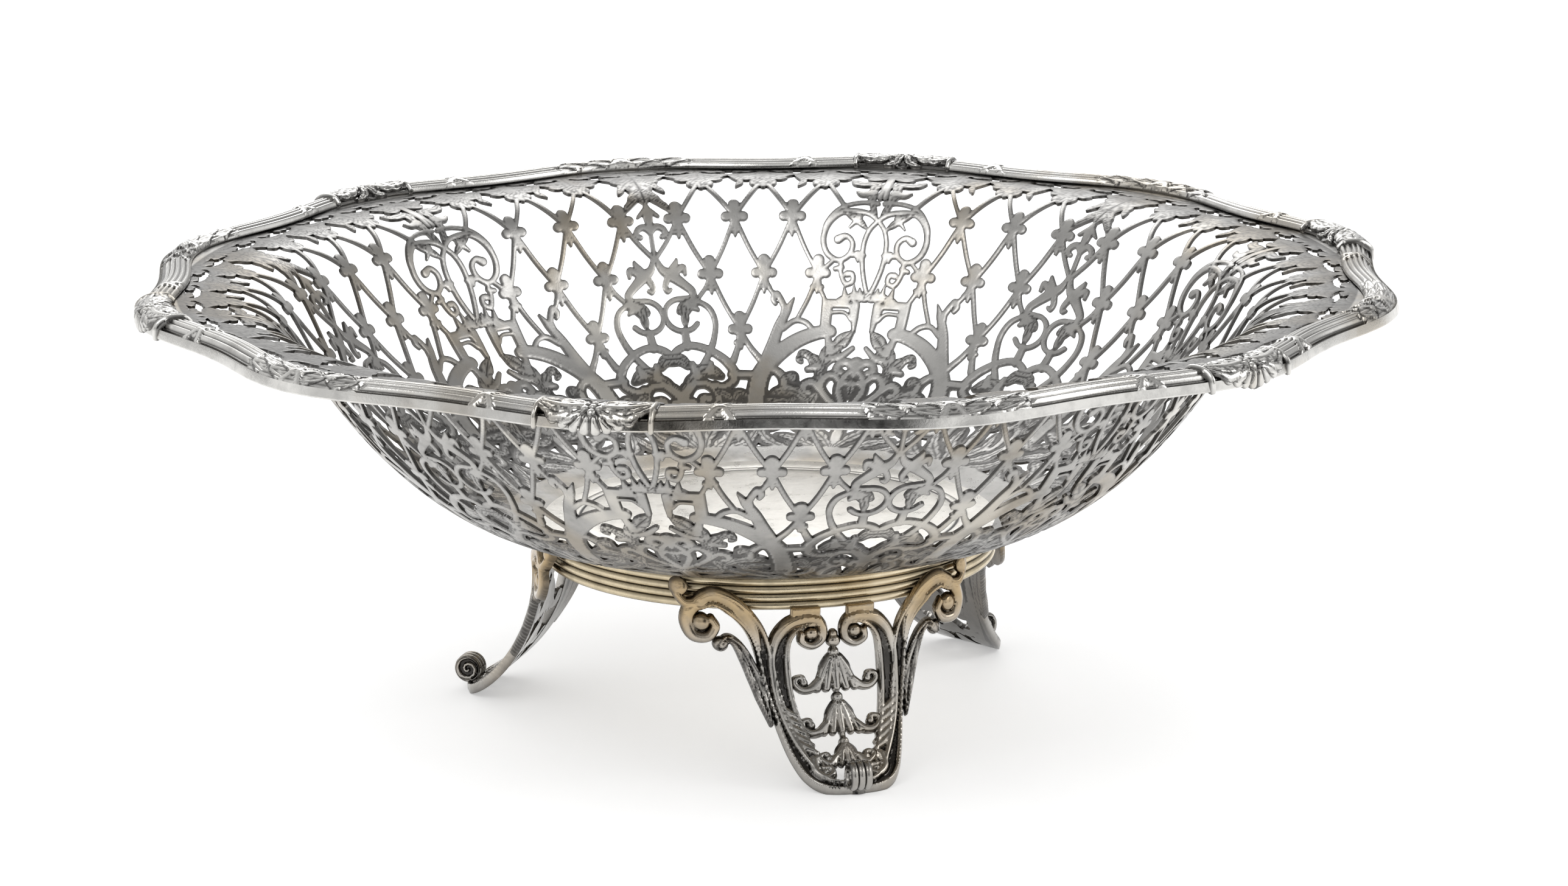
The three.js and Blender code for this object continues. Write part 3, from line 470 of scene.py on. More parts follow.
class Relief:
    """Shapes laid out on a flat sheet of columns and rows.

    cover is the distance in from the nearest edge, negative outside; rise is the height of the
    face from 0 to 1; ink is how dark the surface is painted: in hollows and lines, and as painted
    shade along cut edges, on round bands' sides, in filled slits and under the border. Distances
    are worked out up to MARGIN millimetres past a shape's edge. A face rounds off over the last
    SOFT millimetres of its cover and is painted dark over the last RIM, as painted shade on its cut edge.
    """

    MARGIN = 1.2
    SOFT = 0.45
    RIM = 0.35

    def __init__(self, columns: Array, rows: Array, scale: Array | None = None) -> None:
        """Starts an empty sheet.

        Args:
            columns: Places across the sheet.
            rows: Places along the sheet, in millimetres.
            scale: Millimetres per unit of column, at each row. Without it they are all 1.
        """
        self.columns, self.rows = columns, rows
        self.scale = np.ones(rows.size) if scale is None else scale
        self.cover = np.full((rows.size, columns.size), -9.0)
        self.rise = np.zeros_like(self.cover)
        self.ink = np.zeros_like(self.cover)

    def _near(self, path: Array, half: Array) -> tuple:
        """Distances from the cells near a path: each cell takes the piece of the path that covers
        it deepest, by its distance to that straight piece and the width there.

        Args:
            path: Points of [column, row].
            half: Half the width at each point.

        Returns:
            The window of cells, how deep they are covered, their distance from the path as a share
            of half its width, and how far along the path they are, from 0 to 1.
        """
        reach = float(half.max()) + self.MARGIN
        x, y = path.T
        low, high = np.searchsorted(self.rows, [y.min() - reach, y.max() + reach])
        scale = self.scale[low:high]
        spread = reach / scale.min()
        left, right = np.searchsorted(self.columns, [x.min() - spread, x.max() + spread])
        centre = x.mean()
        x = (x - centre) * np.interp(y, self.rows, self.scale)
        across = ((self.columns[left:right] - centre)[None, :] * scale[:, None])[..., None]
        down = self.rows[low:high][:, None, None]
        dx, dy, dw = np.diff(x), np.diff(y), np.diff(half)
        share = ((across - x[:-1]) * dx + (down - y[:-1]) * dy) / (dx**2 + dy**2 + 1e-9)
        share = np.clip(share, 0, 1)
        distance = np.hypot(across - x[:-1] - share * dx, down - y[:-1] - share * dy)
        width = half[:-1] + share * dw
        depth = width - distance
        best = depth.argmax(-1)[..., None]
        found = (np.take_along_axis(values, best, -1)[..., 0] for values in (share, depth, distance, width))
        share, depth, distance, width = found
        window = (slice(low, high), slice(left, right))
        return window, depth, distance / np.maximum(width, 1e-6), (best[..., 0] + share) / dx.size

    def lay(
        self,
        points: Points,
        widths: Sequence[float],
        section: Section = FLAT,
        lobes: int = 0,
        height: float = 1.0,
    ) -> None:
        """Lays a band or leaf along a path, or takes one out. A leaf lies over what was laid
        before it, with a dark line round it.

        Args:
            points: [column, row] points that the path flows through. One point makes a disc.
            widths: Widths spread evenly along it. One width holds all along.
            section: How it stands up.
            lobes: How many scallops its sides have.
            height: The rise of its highest line.
        """
        path = np.asarray(points, float)
        if len(path) == 1:
            path = path + [(0, -0.01), (0, 0.01)]
        elif len(path) > 2:
            path = flowing(path)
        share = np.linspace(0, 1, len(path))
        half = np.interp(share, np.linspace(0, 1, len(widths)), widths) / 2
        if lobes:
            fine = np.linspace(0, 1, max(len(path), 8 * lobes + 1))
            path = np.stack([np.interp(fine, share, path[:, k]) for k in (0, 1)], -1)
            half = np.interp(fine, share, half) * (0.62 + 0.38 * np.abs(np.sin(np.pi * lobes * fine)))
        window, depth, side, along = self._near(path, half)
        if depth.size == 0:
            return
        if section is CUT:
            np.minimum(self.cover[window], -depth, out=self.cover[window])
            return
        rise, ink = section_of(section, side, along, lobes)
        np.maximum(self.cover[window], depth, out=self.cover[window])
        newer = (depth > 0) & (height * rise >= self.rise[window])
        if section is LEAF:
            ink = np.maximum(ink, 0.85 * (1 - smooth_step(depth, 0.12, 0.5)))
            newer |= depth > 0
        self.rise[window] = np.where(newer, height * rise, self.rise[window])
        self.ink[window] = np.where(newer, ink, self.ink[window])

    def draw(self, strokes: Drawing, column: float = 0.0, row: float = 0.0, sense: int = 1) -> None:
        """Lays the strokes of a drawing.

        Args:
            strokes: Rows of what lay takes.
            column: Where the drawing's column 0 stands.
            row: Where its row 0 stands.
            sense: 1 if its columns run to the right, -1 if they run to the left.
        """
        for points, *how in strokes:
            self.lay([(column + sense * x, row + y) for x, y in points], *how)

    def block(self, left: float, right: float, low: float, high: float, height: float = 1.0) -> None:
        """A square block: its depth is the distance to the nearest of its four sides.

        Args:
            left: Its first column.
            right: Its last column.
            low: Its first row.
            high: Its last row.
            height: Its rise.
        """
        columns, rows = self.columns[None, :], self.rows[:, None]
        across = np.minimum(columns - left, right - columns) * self.scale[:, None]
        depth = np.minimum(across, np.minimum(rows - low, high - rows))
        self.cover = np.maximum(self.cover, depth)
        inside = depth > 0
        self.rise = np.where(inside, np.maximum(self.rise, height), self.rise)
        self.ink = np.where(inside, 0.0, self.ink)

    def mirrored(self) -> "Relief":
        """Joins the sheet to its mirror image across its first column.

        Returns:
            The whole sheet.
        """
        whole = Relief(np.concatenate([-self.columns[:0:-1], self.columns]), self.rows, self.scale)
        for name in ("cover", "rise", "ink"):
            half = getattr(self, name)
            setattr(whole, name, np.concatenate([half[:, :0:-1], half], 1))
        return whole

    def _corners(self) -> tuple[Array, Array]:
        """The points of the covered part's polygons. They are the covered places of the grid, and
        the points of the grid's sides where cover passes through zero.

        Returns:
            Rows of column, row, rise, ink and cover, and for every cell the numbers of its four
            corners and four sides, or -1 where it has no such point.
        """
        place = np.broadcast_arrays(self.columns[None, :], self.rows[:, None])
        layers = np.stack([*place, self.rise, self.ink, self.cover])
        rows, columns = self.cover.shape
        solid = self.cover > 0
        count = int(solid.sum())
        number = np.full(solid.shape, -1)
        number[solid] = np.arange(count)
        found, crossings = [layers[:, solid]], []
        for step_y, step_x in ((0, 1), (1, 0)):
            first = layers[:, : rows - step_y, : columns - step_x]
            second = layers[:, step_y:, step_x:]
            crosses = (first[-1] > 0) != (second[-1] > 0)
            a, b = first[:, crosses], second[:, crosses]
            t = np.clip(a[-1] / (a[-1] - b[-1]), 0.04, 0.96)
            met = a * (1 - t) + b * t
            met[2:4] = np.maximum(a[2:4], b[2:4])
            met[-1] = 0
            found.append(met)
            index = np.full(crosses.shape, -1)
            index[crosses] = count + np.arange(t.size)
            count += t.size
            crossings.append(index)
        level, upright = crossings
        corners = [number[:-1, :-1], number[:-1, 1:], number[1:, 1:], number[1:, :-1]]
        sides = [level[:-1, :], upright[:, 1:], level[1:, :], upright[:, :-1]]
        return np.concatenate(found, 1), np.stack(corners + sides, -1)

    def mesh(self, place: Callable[..., Array], edge: float = 0.75, back: float = 0.0) -> tuple:
        """Turns the covered part into a closed body by marching squares: a cell's polygon joins
        its covered corners and the crossings of its sides. The front and back are the same
        polygons, and a wall joins them along every open side.

        Args:
            place: Takes columns, rows, rise (softened towards the edges) and side, which is 1 on
                the front and 0 on the back, and returns points.
            edge: How dark the front's rim is painted, as painted shade along the cut edge.
            back: How dark the back is at least.

        Returns:
            Vertices, a list of face arrays, and ink.
        """
        (x, y, rise, ink, cover), ids = self._corners()
        count = x.size
        case = ((ids[..., :4] >= 0) * np.array([1, 2, 4, 8])).sum(-1)
        quads, triangles = [], []
        for pattern in range(1, 16):
            ring: list[int] = []
            for k in range(4):
                if pattern >> k & 1:
                    ring.append(k)
                if (pattern >> k & 1) != (pattern >> ((k + 1) % 4) & 1):
                    ring.append(4 + k)
            found = ids[case == pattern][:, ring]
            if len(ring) == 3:
                triangles.append(found)
            else:
                quads.append(found[:, :4])
            if len(ring) == 5:
                triangles.append(found[:, [0, 3, 4]])
            if len(ring) == 6:
                quads.append(found[:, [0, 3, 4, 5]])
        four, three = np.concatenate(quads), np.concatenate(triangles)
        sides = [np.stack([group, np.roll(group, -1, 1)], -1).swapaxes(0, 1) for group in (four, three)]
        edges = np.concatenate([side.reshape(-1, 2) for side in sides])
        forward, reverse = edges @ np.array([count, 1]), edges @ np.array([1, count])
        start, end = edges[~np.isin(forward, reverse)].T
        soft = rise * np.sqrt(smooth_step(cover, -0.05, self.SOFT))
        vertices = np.concatenate([place(x, y, soft, np.full(count, side)) for side in (1.0, 0.0)])
        walls = np.stack([end, start, start + count, end + count], -1)
        # Painted shade: points within RIM of a cut edge, and so the edge's wall, are darkened by edge.
        ink = np.maximum(ink, edge * (1 - smooth_step(cover, 0.0, self.RIM)))
        faces = [four, three, walls, four[:, ::-1] + count, three[:, ::-1] + count]
        return vertices, faces, np.concatenate([ink, np.maximum(ink, back)])


def section_of(section: Section, side: Array, along: Array, lobes: int) -> tuple:
    """Height and darkness across a band. side runs from 0 on its middle line to 1 at its edge.
    A round band is a half circle, painted darker towards its edges as painted shade, a channel has a
    bead along each edge and a dark hollow between, and a leaf has a sunk rib with veins that leave
    it at a slant, two to each scallop.

    Args:
        section: Which of these it is.
        side: Distance from the middle line.
        along: Distance along the band, from 0 to 1.
        lobes: How many scallops a leaf has.

    Returns:
        Rise and ink.
    """
    side = np.clip(side, 0, 1)
    # Painted shade: a round band darkens towards its edges, as if lit from above its middle.
    if section is ROUND:
        return np.sqrt(1 - 0.96 * side**2), 0.75 * smooth_step(side, 0.58, 1.0)
    if section is CHANNEL:
        bead = np.sqrt(np.clip(1 - ((side - 0.68) / 0.32) ** 2, 0, 1))
        return 0.3 + 0.7 * bead, 0.9 * (1 - smooth_step(side, 0.34, 0.54))
    if section is LEAF:
        veins = 0.5 + 0.5 * np.cos(FULL_TURN * (max(2 * lobes, 4) * along + 0.5 - 0.9 * side))
        groove = np.exp(-((side / 0.2) ** 2))
        ink = np.maximum(0.95 * groove, 0.8 * veins**3 * smooth_step(side, 0.05, 0.5))
        return 0.86 - 0.3 * groove + 0.14 * (1 - veins), ink
    return np.ones_like(side), np.zeros_like(side)


# Finishes


class Nodes:
    """A short way to lay out the nodes of a material or of a world."""

    def __init__(self, owner: bpy.types.Material | bpy.types.World) -> None:
        """Turns the owner's nodes on.

        Args:
            owner: What the nodes belong to.
        """
        owner.use_nodes = True
        self.tree = owner.node_tree

    def add(self, kind: str, inputs: dict | None = None, **settings: object) -> bpy.types.Node:
        """Adds a node.

        Args:
            kind: Its type.
            inputs: Values or output sockets for its inputs, by name or number.
            settings: Its own properties.

        Returns:
            The node.
        """
        node = self.tree.nodes.new(kind)
        for key, value in settings.items():
            setattr(node, key, value)
        for key, value in (inputs or {}).items():
            self.feed(node.inputs[key], value)
        return node

    def feed(self, socket: Socket, value: object) -> None:
        """Links an output socket to a socket, or sets the socket's value.

        Args:
            socket: The input socket.
            value: The output socket or value.
        """
        if isinstance(value, Socket):
            self.tree.links.new(value, socket)
        else:
            socket.default_value = value

    def noise(self, place: object, scale: float, detail: float, **more: float) -> Socket:
        """The grey value of a noise."""
        inputs = {"Vector": place, "Scale": scale, "Detail": detail, **more}
        return self.add("ShaderNodeTexNoise", inputs).outputs["Fac"]

    def span(
        self,
        value: Socket,
        low: float,
        high: float,
        start: float = 0.0,
        end: float = 1.0,
        curve: str = "LINEAR",
    ) -> Socket:
        """A change from start to end as value goes from low to high."""
        limits = {"Value": value, "From Min": low, "From Max": high, "To Min": start, "To Max": end}
        return self.add("ShaderNodeMapRange", limits, interpolation_type=curve).outputs["Result"]

    def ramp(self, value: Socket, low: float, high: float) -> Socket:
        """0 below low, 1 above high and an even S between them."""
        return self.span(value, low, high, curve="SMOOTHSTEP")

    def maths(self, operation: str, a: object, b: object, clamp: bool = True) -> Socket:
        """One sum of two values or sockets, kept between 0 and 1 if clamp is set."""
        return self.add("ShaderNodeMath", {0: a, 1: b}, operation=operation, use_clamp=clamp).outputs[0]

    def mix(self, factor: object, a: object, b: object) -> Socket:
        """A colour between two others."""
        return self.add("ShaderNodeMix", {0: factor, 6: a, 7: b}, data_type="RGBA").outputs[2]


@dataclass(frozen=True)
class AgedSilver:
    """Silver, darkened where its ink says, with warm stains and fine wear.

    The point attribute ink says where it is dark: in hollows and lines, and as painted shade along
    edges, on round bands' sides, past overlapping leaves and under the border. The stain runs from 0
    below warm_from to full above warm_to, both heights in metres.
    """

    name: str
    light: Colour = (0.445, 0.437, 0.421)
    stain: Colour = (0.335, 0.28, 0.2)
    cream: Colour = (0.80, 0.765, 0.69)
    dark: Colour = (0.03, 0.028, 0.027)
    roughness: float = 0.3
    stain_share: float = 0.65
    cream_share: float = 0.55
    warm_from: float = 9.0
    warm_to: float = 10.0

    def material(self) -> bpy.types.Material:
        """Lays out noises for stains, mottle, rubbed patches and scratches, and the ink, which darkens
        hollows and lines and carries painted shade.

        Returns:
            The node material.
        """
        made = bpy.data.materials.new(self.name)
        n = Nodes(made)
        shader = made.node_tree.nodes["Principled BSDF"]
        place = n.add("ShaderNodeTexCoord").outputs["Object"]
        patches = n.noise(place, 26.0, 4.0)
        mottle = n.noise(place, 160.0, 5.0, Roughness=0.65)
        polish = n.noise(place, 19.0, 3.0, Distortion=0.6)
        scratches = n.noise(place, 1900.0, 3.0)
        height = n.add("ShaderNodeSeparateXYZ", {"Vector": place}).outputs["Z"]
        blotch = n.maths("MULTIPLY", n.ramp(patches, 0.5, 0.64), self.stain_share)
        stained = n.maths("MAXIMUM", blotch, n.ramp(height, self.warm_from, self.warm_to))
        colour = n.mix(stained, (*self.light, 1), (*self.stain, 1))
        dull = n.maths("MULTIPLY", n.ramp(mottle, 0.42, 0.75), 0.45)
        colour = n.mix(dull, colour, (*(0.45 * c for c in self.light), 1))
        rubbed = n.maths("MULTIPLY", n.ramp(polish, 0.6, 0.68), self.cream_share)
        colour = n.mix(rubbed, colour, (*self.cream, 1))
        # ink: dark hollows and lines, and painted shade along edges, round bands' sides, overlaps and under
        # the border.
        ink = n.add("ShaderNodeAttribute", attribute_name="ink").outputs["Fac"]
        broken = n.maths("MULTIPLY", ink, n.ramp(mottle, 0.0, 0.45))
        n.feed(shader.inputs["Base Color"], n.mix(broken, colour, (*self.dark, 1)))
        shader.inputs["Metallic"].default_value = 1.0
        rough = n.span(mottle, 0.3, 0.7, self.roughness - 0.06, self.roughness + 0.12)
        n.feed(shader.inputs["Roughness"], rough)
        bump = n.add("ShaderNodeBump", {"Height": scratches, "Strength": 0.12, "Distance": 0.0002})
        n.feed(shader.inputs["Normal"], bump.outputs["Normal"])
        return made


OXIDISED = AgedSilver("oxidised_silver_sheet")
POLISHED = AgedSilver(
    "polished_silver_floor", light=(0.9, 0.875, 0.82), stain=(0.76, 0.71, 0.63), stain_share=0.3
)
BRIGHT = AgedSilver("bright_silver_border", light=(0.66, 0.65, 0.625), roughness=0.18, stain_share=0.5)
TARNISHED = AgedSilver(
    "golden_tarnished_silver", light=(0.62, 0.53, 0.37), stain=(0.46, 0.35, 0.2), cream=(0.85, 0.74, 0.55),
    roughness=0.26,
)
CAST = AgedSilver(
    "cast_silver_foot", light=(0.41, 0.395, 0.37), stain=(0.40, 0.30, 0.175), roughness=0.17,
    stain_share=0.25, cream_share=0.2, warm_from=0.030, warm_to=0.043,
)


def dressed(piece: Piece, material: bpy.types.Material, slot: Slot, *nodes: str) -> None:
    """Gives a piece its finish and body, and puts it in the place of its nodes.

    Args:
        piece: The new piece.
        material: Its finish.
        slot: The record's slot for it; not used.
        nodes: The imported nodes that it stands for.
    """
    piece.data.materials.append(material)
    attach(piece, "root")
    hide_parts(*nodes)
    LOG.info("%s: %d faces", piece.name, len(piece.data.polygons))


# Bowl


@dataclass
class PiercedBowl:
    """The raised sheet. The columns of its pattern are azimuth times the radius reference, in
    millimetres, and its rows run up the wall. It is pierced from row plain_to to row rim_from, and
    swell is how far its shapes spread near the floor."""

    thickness: float = 1.05
    reference: float = 118.0
    step: float = 0.5
    bar: float = 1.25
    plain_to: float = 15.4
    rim_from: float = 123.4
    swell: float = 1.0
    wall: Profile = field(default_factory=wall_profile)
    knot_rows: tuple[float, ...] = (108.5, 94.2, 77.2, 60.0)
    row_scale: float = 1.0146
    row_start: float = 6.25

    @property
    def half_sector(self) -> float:
        """Width of the sheet from a foot axis to a clasp axis, in columns."""
        return self.reference * math.pi / SECTORS

    @property
    def unit(self) -> float:
        """Width between two knots of a row, in columns."""
        return self.half_sector / 4

    def distance_at(self, row: Array) -> Array:
        """Distance up the wall of a row of the pattern: the rows start a little below the floor's
        edge and lie a little wider apart than millimetres."""
        return self.row_scale * row - self.row_start

    def row_at(self, distance: float) -> float:
        """Row of the pattern at a distance up the wall."""
        return (distance + self.row_start) / self.row_scale

    def layout(self) -> Relief:
        """The openwork from a foot axis to a clasp axis. Its shapes swell towards the floor, where
        only slits part them, and the margin that they gain is sunk and painted dark, as painted shade
        where open slits would show dark.
        The sheet darkens towards the border, partly as tarnish and partly as painted shade, darkest
        just under the moulding.

        Returns:
            The half sector.
        """
        columns = np.linspace(0, self.half_sector, int(self.half_sector / self.step) + 1)
        plain = np.linspace(self.row_at(0.0), self.plain_to - 1, 8)
        pierced = np.arange(self.plain_to - 0.6, self.rim_from + 0.8, self.step)
        rim = np.linspace(self.rim_from + 1.4, self.row_at(self.wall.length), 5)
        rows = np.concatenate([plain, pierced, rim])
        radius, _ = self.wall.at(self.distance_at(rows), 0.0)
        sheet = Relief(columns, rows, radius / self.reference)
        self.trellis(sheet)
        sheet.draw(CIRCLE_PANEL)
        self.scroll_panel(sheet)
        self.garland(sheet)
        # Painted shade: the margin that the swell fills in is darkened, standing for dark open slits.
        margin = self.swell * (1 - smooth_step(rows, 36, 62))[:, None]
        gained = (sheet.cover <= 0.05) & (sheet.cover + margin > 0)
        sheet.ink = np.where(gained, 0.75 * smooth_step(margin, 0.3, 0.8), sheet.ink)
        sheet.cover += margin
        # Partly tarnish, partly painted shade: darker towards the border, darkest just under the moulding.
        tarnish_and_shade_near_border = 0.62 * smooth_step(rows, 106, 117) + 0.2 * smooth_step(rows, 120.5, 124.5)
        sheet.ink = np.maximum(sheet.ink, tarnish_and_shade_near_border[:, None])
        for low, high in ((0, self.plain_to), (self.rim_from, 200)):
            sheet.block(-1, self.half_sector + 1, low, high)
        return sheet

    def trellis(self, sheet: Relief) -> None:
        """Bars from knot to knot, each a little bowed, and the knots on them.

        Args:
            sheet: The half sector.
        """
        garland, upper, middle, lower = self.knot_rows
        u, edge = self.unit, self.half_sector
        spans = [((k + side) * u, garland + 2, k * u, upper) for k in (0.5, 1.5, 2.5) for side in (-0.5, 0.5)]
        spans += [((k - 0.5) * u, upper, k * u, middle) for k in (1, 2, 3)]
        spans += [((k + 0.5) * u, upper, k * u, middle) for k in (1, 2)]
        spans += [(3 * u, garland + 2, edge - 8.3, 95.8), (u, middle, 1.5 * u, lower),
                  (2 * u, middle, 1.5 * u, lower), (3 * u, middle, edge - 11.6, 81),
                  (0.5 * u, upper, 0.25, 82.6), (u, middle, 11.4, 70.5), (2 * u, middle, 34.3, 70),
                  (3 * u, middle, 41.0, 63.4), (3 * u, middle, edge - 12.6, 69),
                  (1.5 * u, lower, 20.3, 50.2), (1.5 * u, lower, 29.6, 50.0)]
        for x0, y0, x1, y1 in spans:
            bowed = ((x0 + x1) / 2 - 0.35 * np.sign(x1 - x0), (y0 + y1) / 2 - 0.4)
            sheet.lay([(x0, y0), bowed, (x1, y1)], [self.bar])
        for row, places in ((upper, (0.5, 1.5, 2.5)), (middle, (1, 2, 3)), (lower, (1.5,))):
            for k in places:
                sheet.draw(KNOT, k * u, row)

    def garland(self, sheet: Relief) -> None:
        """Swags of leaves along the border: sprays run both ways from a pendant at each bar's
        head and overlap in two rows, with small gaps between them.

        Args:
            sheet: The half sector.
        """
        for k in range(5):
            for sense in (-1, 1):
                sheet.draw(GARLAND_SPRAY, k * self.unit, sense=sense)
        for strokes, places in ((GARLAND_PENDANT, (1, 2, 3)), (GARLAND_SLIT, (0.5, 1.5, 2.5, 3.5)),
                                (GARLAND_TIP, (1.5, 2.5))):
            for k in places:
                sheet.draw(strokes, k * self.unit)

    def scroll_panel(self, sheet: Relief) -> None:
        """The panel under a clasp, its columns counted from the clasp axis, and the two blocks of
        its stepped arch.

        Args:
            sheet: The half sector.
        """
        edge = self.half_sector
        sheet.draw(SCROLL_PANEL_TOP, edge, sense=-1)
        sheet.block(edge - 13.7, edge - 5.2, 67.0, 69.6)
        sheet.block(edge - 13.7, edge - 10.2, 59.4, 69.6)
        sheet.draw(SCROLL_PANEL_LOW, edge, sense=-1)

    def build(self) -> None:
        """Makes the six sectors of the sheet and its floor."""

        def place(column: Array, row: Array, rise: Array, side: Array) -> Array:
            """A point on either face of the sheet: outer face at side 1, softened by its rise."""
            offset = np.where(side > 0.5, -1, 1) * self.thickness * (0.36 + 0.14 * rise)
            radius, height = self.wall.at(self.distance_at(row), offset)
            return polar(column / self.reference, radius, height)

        vertices, faces, ink = self.layout().mirrored().mesh(place)
        material = OXIDISED.material()
        for sector in range(SECTORS):
            turn = FULL_TURN * sector / SECTORS
            c, s = math.cos(turn), math.sin(turn)
            spun = vertices @ np.array([[c, s, 0], [-s, c, 0], [0, 0, 1]])
            piece = mesh_piece(f"pierced_wall_{sector + 1}", spun, faces, ink, sharp=50)
            dressed(piece, material, Slot.OXIDISED, "pierced_bowl")
        self.floor()

    def floor(self) -> None:
        """The flat floor inside the foot ring: a turned plate with two engraved circles."""
        circles, line_half, engraved, half = (49.8, 52.0), 0.3, 0.12, self.thickness / 2
        reach = np.array([0.001, 4, 12, 24, 36, 46, 49.2, 49.6, 50, 50.4, 51.6, 52, 52.4, 56, RING_RADIUS])
        sunk = sum(1.0 * (np.abs(reach - circle) < line_half) for circle in circles)
        height = FLOOR_HEIGHT + np.concatenate([half - engraved * sunk, np.full(reach.size, -half)])
        ink = np.concatenate([sunk, 0 * reach])
        piece = turned("plain_floor", np.concatenate([reach, reach[::-1]]), height, ink, 144)
        dressed(piece, POLISHED.material(), Slot.OXIDISED, "pierced_bowl")


# Border


@dataclass
class Border:
    """The reeded moulding on the edge of the sheet, in six lengths between six leaf clasps.

    straps are the places of the crossed straps in degrees from the middle of a length, and
    leafy_half is half the length of the leafy middle. clasp_half is in degrees. seat is the gap
    between a length and a clasp.
    """

    radius: float = 162.0
    corner: float = 2.75
    width: float = 9.0
    lean: float = 0.9
    arch: float = 1.55
    fall: float = 1.5
    foot: float = 116.15
    lip_bottom: float = 113.35
    lip_round: float = 0.38
    reeds: int = 5
    reeded_share: float = 0.86
    strap_half: float = 1.15
    strap_slant: float = 0.75
    straps: tuple[float, ...] = (-19.5, 0.0, 19.5)
    leafy_half: float = 20.5
    leaf_pitch: float = 9.4
    leaf_width: float = 4.3
    clasp_half: float = 5.0
    clasp_step: float = 0.22
    seat: float = 0.3
    across: int = 49

    def edge(self, azimuth: Array) -> Array:
        """Radius of the outer edge: the mean and one cosine wave to each half sector."""
        return self.radius + self.corner * np.cos(2 * SECTORS * azimuth)

    def surface(self, azimuth: Array, relief: Callable, name: str) -> Piece:
        """Carries the moulding's section along the lobed edge.

        The section runs from the inner edge over the crown to the lip. The crown's height is a
        flattened arch plus the relief, less a fall towards the lip. Then come a ledge, a lip that
        rounds off below, and a flat underside.

        Args:
            azimuth: Stations along the border, in radians.
            relief: Takes azimuth and place across (0 inside, 1 at the lip) and returns the height
                to add, in millimetres, and ink.
            name: The piece's name.

        Returns:
            The mesh object, closed by flat ends.
        """
        share = np.linspace(0, 1, self.across)[None, :]
        arch = np.clip(np.sin(np.pi * (0.08 + 0.86 * share)), 0, 1) ** 0.7
        rise, ink = relief(azimuth[:, None], share)
        crown = self.foot + self.arch * arch + rise - self.fall * smooth_step(share, 0.55, 1.0)
        crown_in = np.broadcast_to(self.width - (self.width - self.lean) * share, rise.shape)
        turn = np.linspace(-math.radians(15), 0.75 * np.pi, 9)
        lip_in = self.lip_round - self.lip_round * np.cos(turn)
        lip = self.lip_bottom + self.lip_round - self.lip_round * np.sin(turn)
        ledge, under = (self.foot - 0.4, self.foot - 0.3), (self.lip_bottom + 0.6, self.foot, self.foot)

        def joined(varied: Array, *rest: Sequence[float]) -> Array:
            """The crown's values followed by values that are the same at every station."""
            same = np.concatenate(rest)
            return np.concatenate([varied, np.broadcast_to(same, (azimuth.size, same.size))], 1)

        inward = joined(crown_in, (0.8, 0.55), lip_in, (1.5, 1.5, self.width))
        height = joined(crown, ledge, lip, under)
        # Painted shade: a dark line along the ledge under the crown, and the moulding's underside darkened.
        ink = joined(ink, (0.85, 0.0), 0 * turn, (0.6, 0.6, 0.6))
        points = polar(azimuth[:, None], self.edge(azimuth)[:, None] - inward, height)
        rows, columns = height.shape
        first, tip = np.arange(columns), rows * columns
        faces = [grid_faces(rows, columns, around=True)[:, ::-1], fan(first, tip)[:, ::-1],
                 fan(first + tip - columns, tip + 1)]
        points = np.concatenate([points.reshape(-1, 3), points[[0, -1]].mean(1)])
        return mesh_piece(name, points, faces, np.concatenate([ink.ravel(), [0.8, 0.8]]), sharp=60)

    def reeding(self, share: Array) -> tuple[Array, Array]:
        """Reeds across the crown: the size of a sine, dark where it is near zero, with a smooth
        hollow between the last reed and the lip.

        Args:
            share: Place across, from 0 inside to 1 at the lip.

        Returns:
            Rise and ink.
        """
        reeded = share < self.reeded_share
        wave = np.abs(np.sin(np.pi * self.reeds * share / self.reeded_share)) * reeded
        ink = 0.9 * (1 - smooth_step(wave, 0.12, 0.45)) * (0.25 + 0.75 * smooth_step(share, 0.02, 0.1))
        return 0.62 * wave**0.7, np.where(reeded, ink, 0.35)

    def ribbon(self, along: Array, across: Array, rise: Array, ink: Array) -> tuple:
        """Two straps that cross on the reeds: where a point lies within half a strap's width of a
        slanting line, a low rounded strap takes the place of what is below it.

        Args:
            along: Distance from the crossing along the border.
            across: Distance from the middle of the moulding.
            rise: Height below the straps.
            ink: Darkness below the straps.

        Returns:
            The new rise and ink.
        """
        for slant in (-self.strap_slant, self.strap_slant):
            side = np.abs(along - slant * across) / self.strap_half
            strap = 0.62 + 0.3 * np.sqrt(np.clip(1 - side**2, 0, 1))
            rise = np.where(side < 1, np.maximum(rise, strap), rise)
            ink = np.where(side < 1, 0.85 * smooth_step(side, 0.72, 1.0), ink)
        return rise, ink

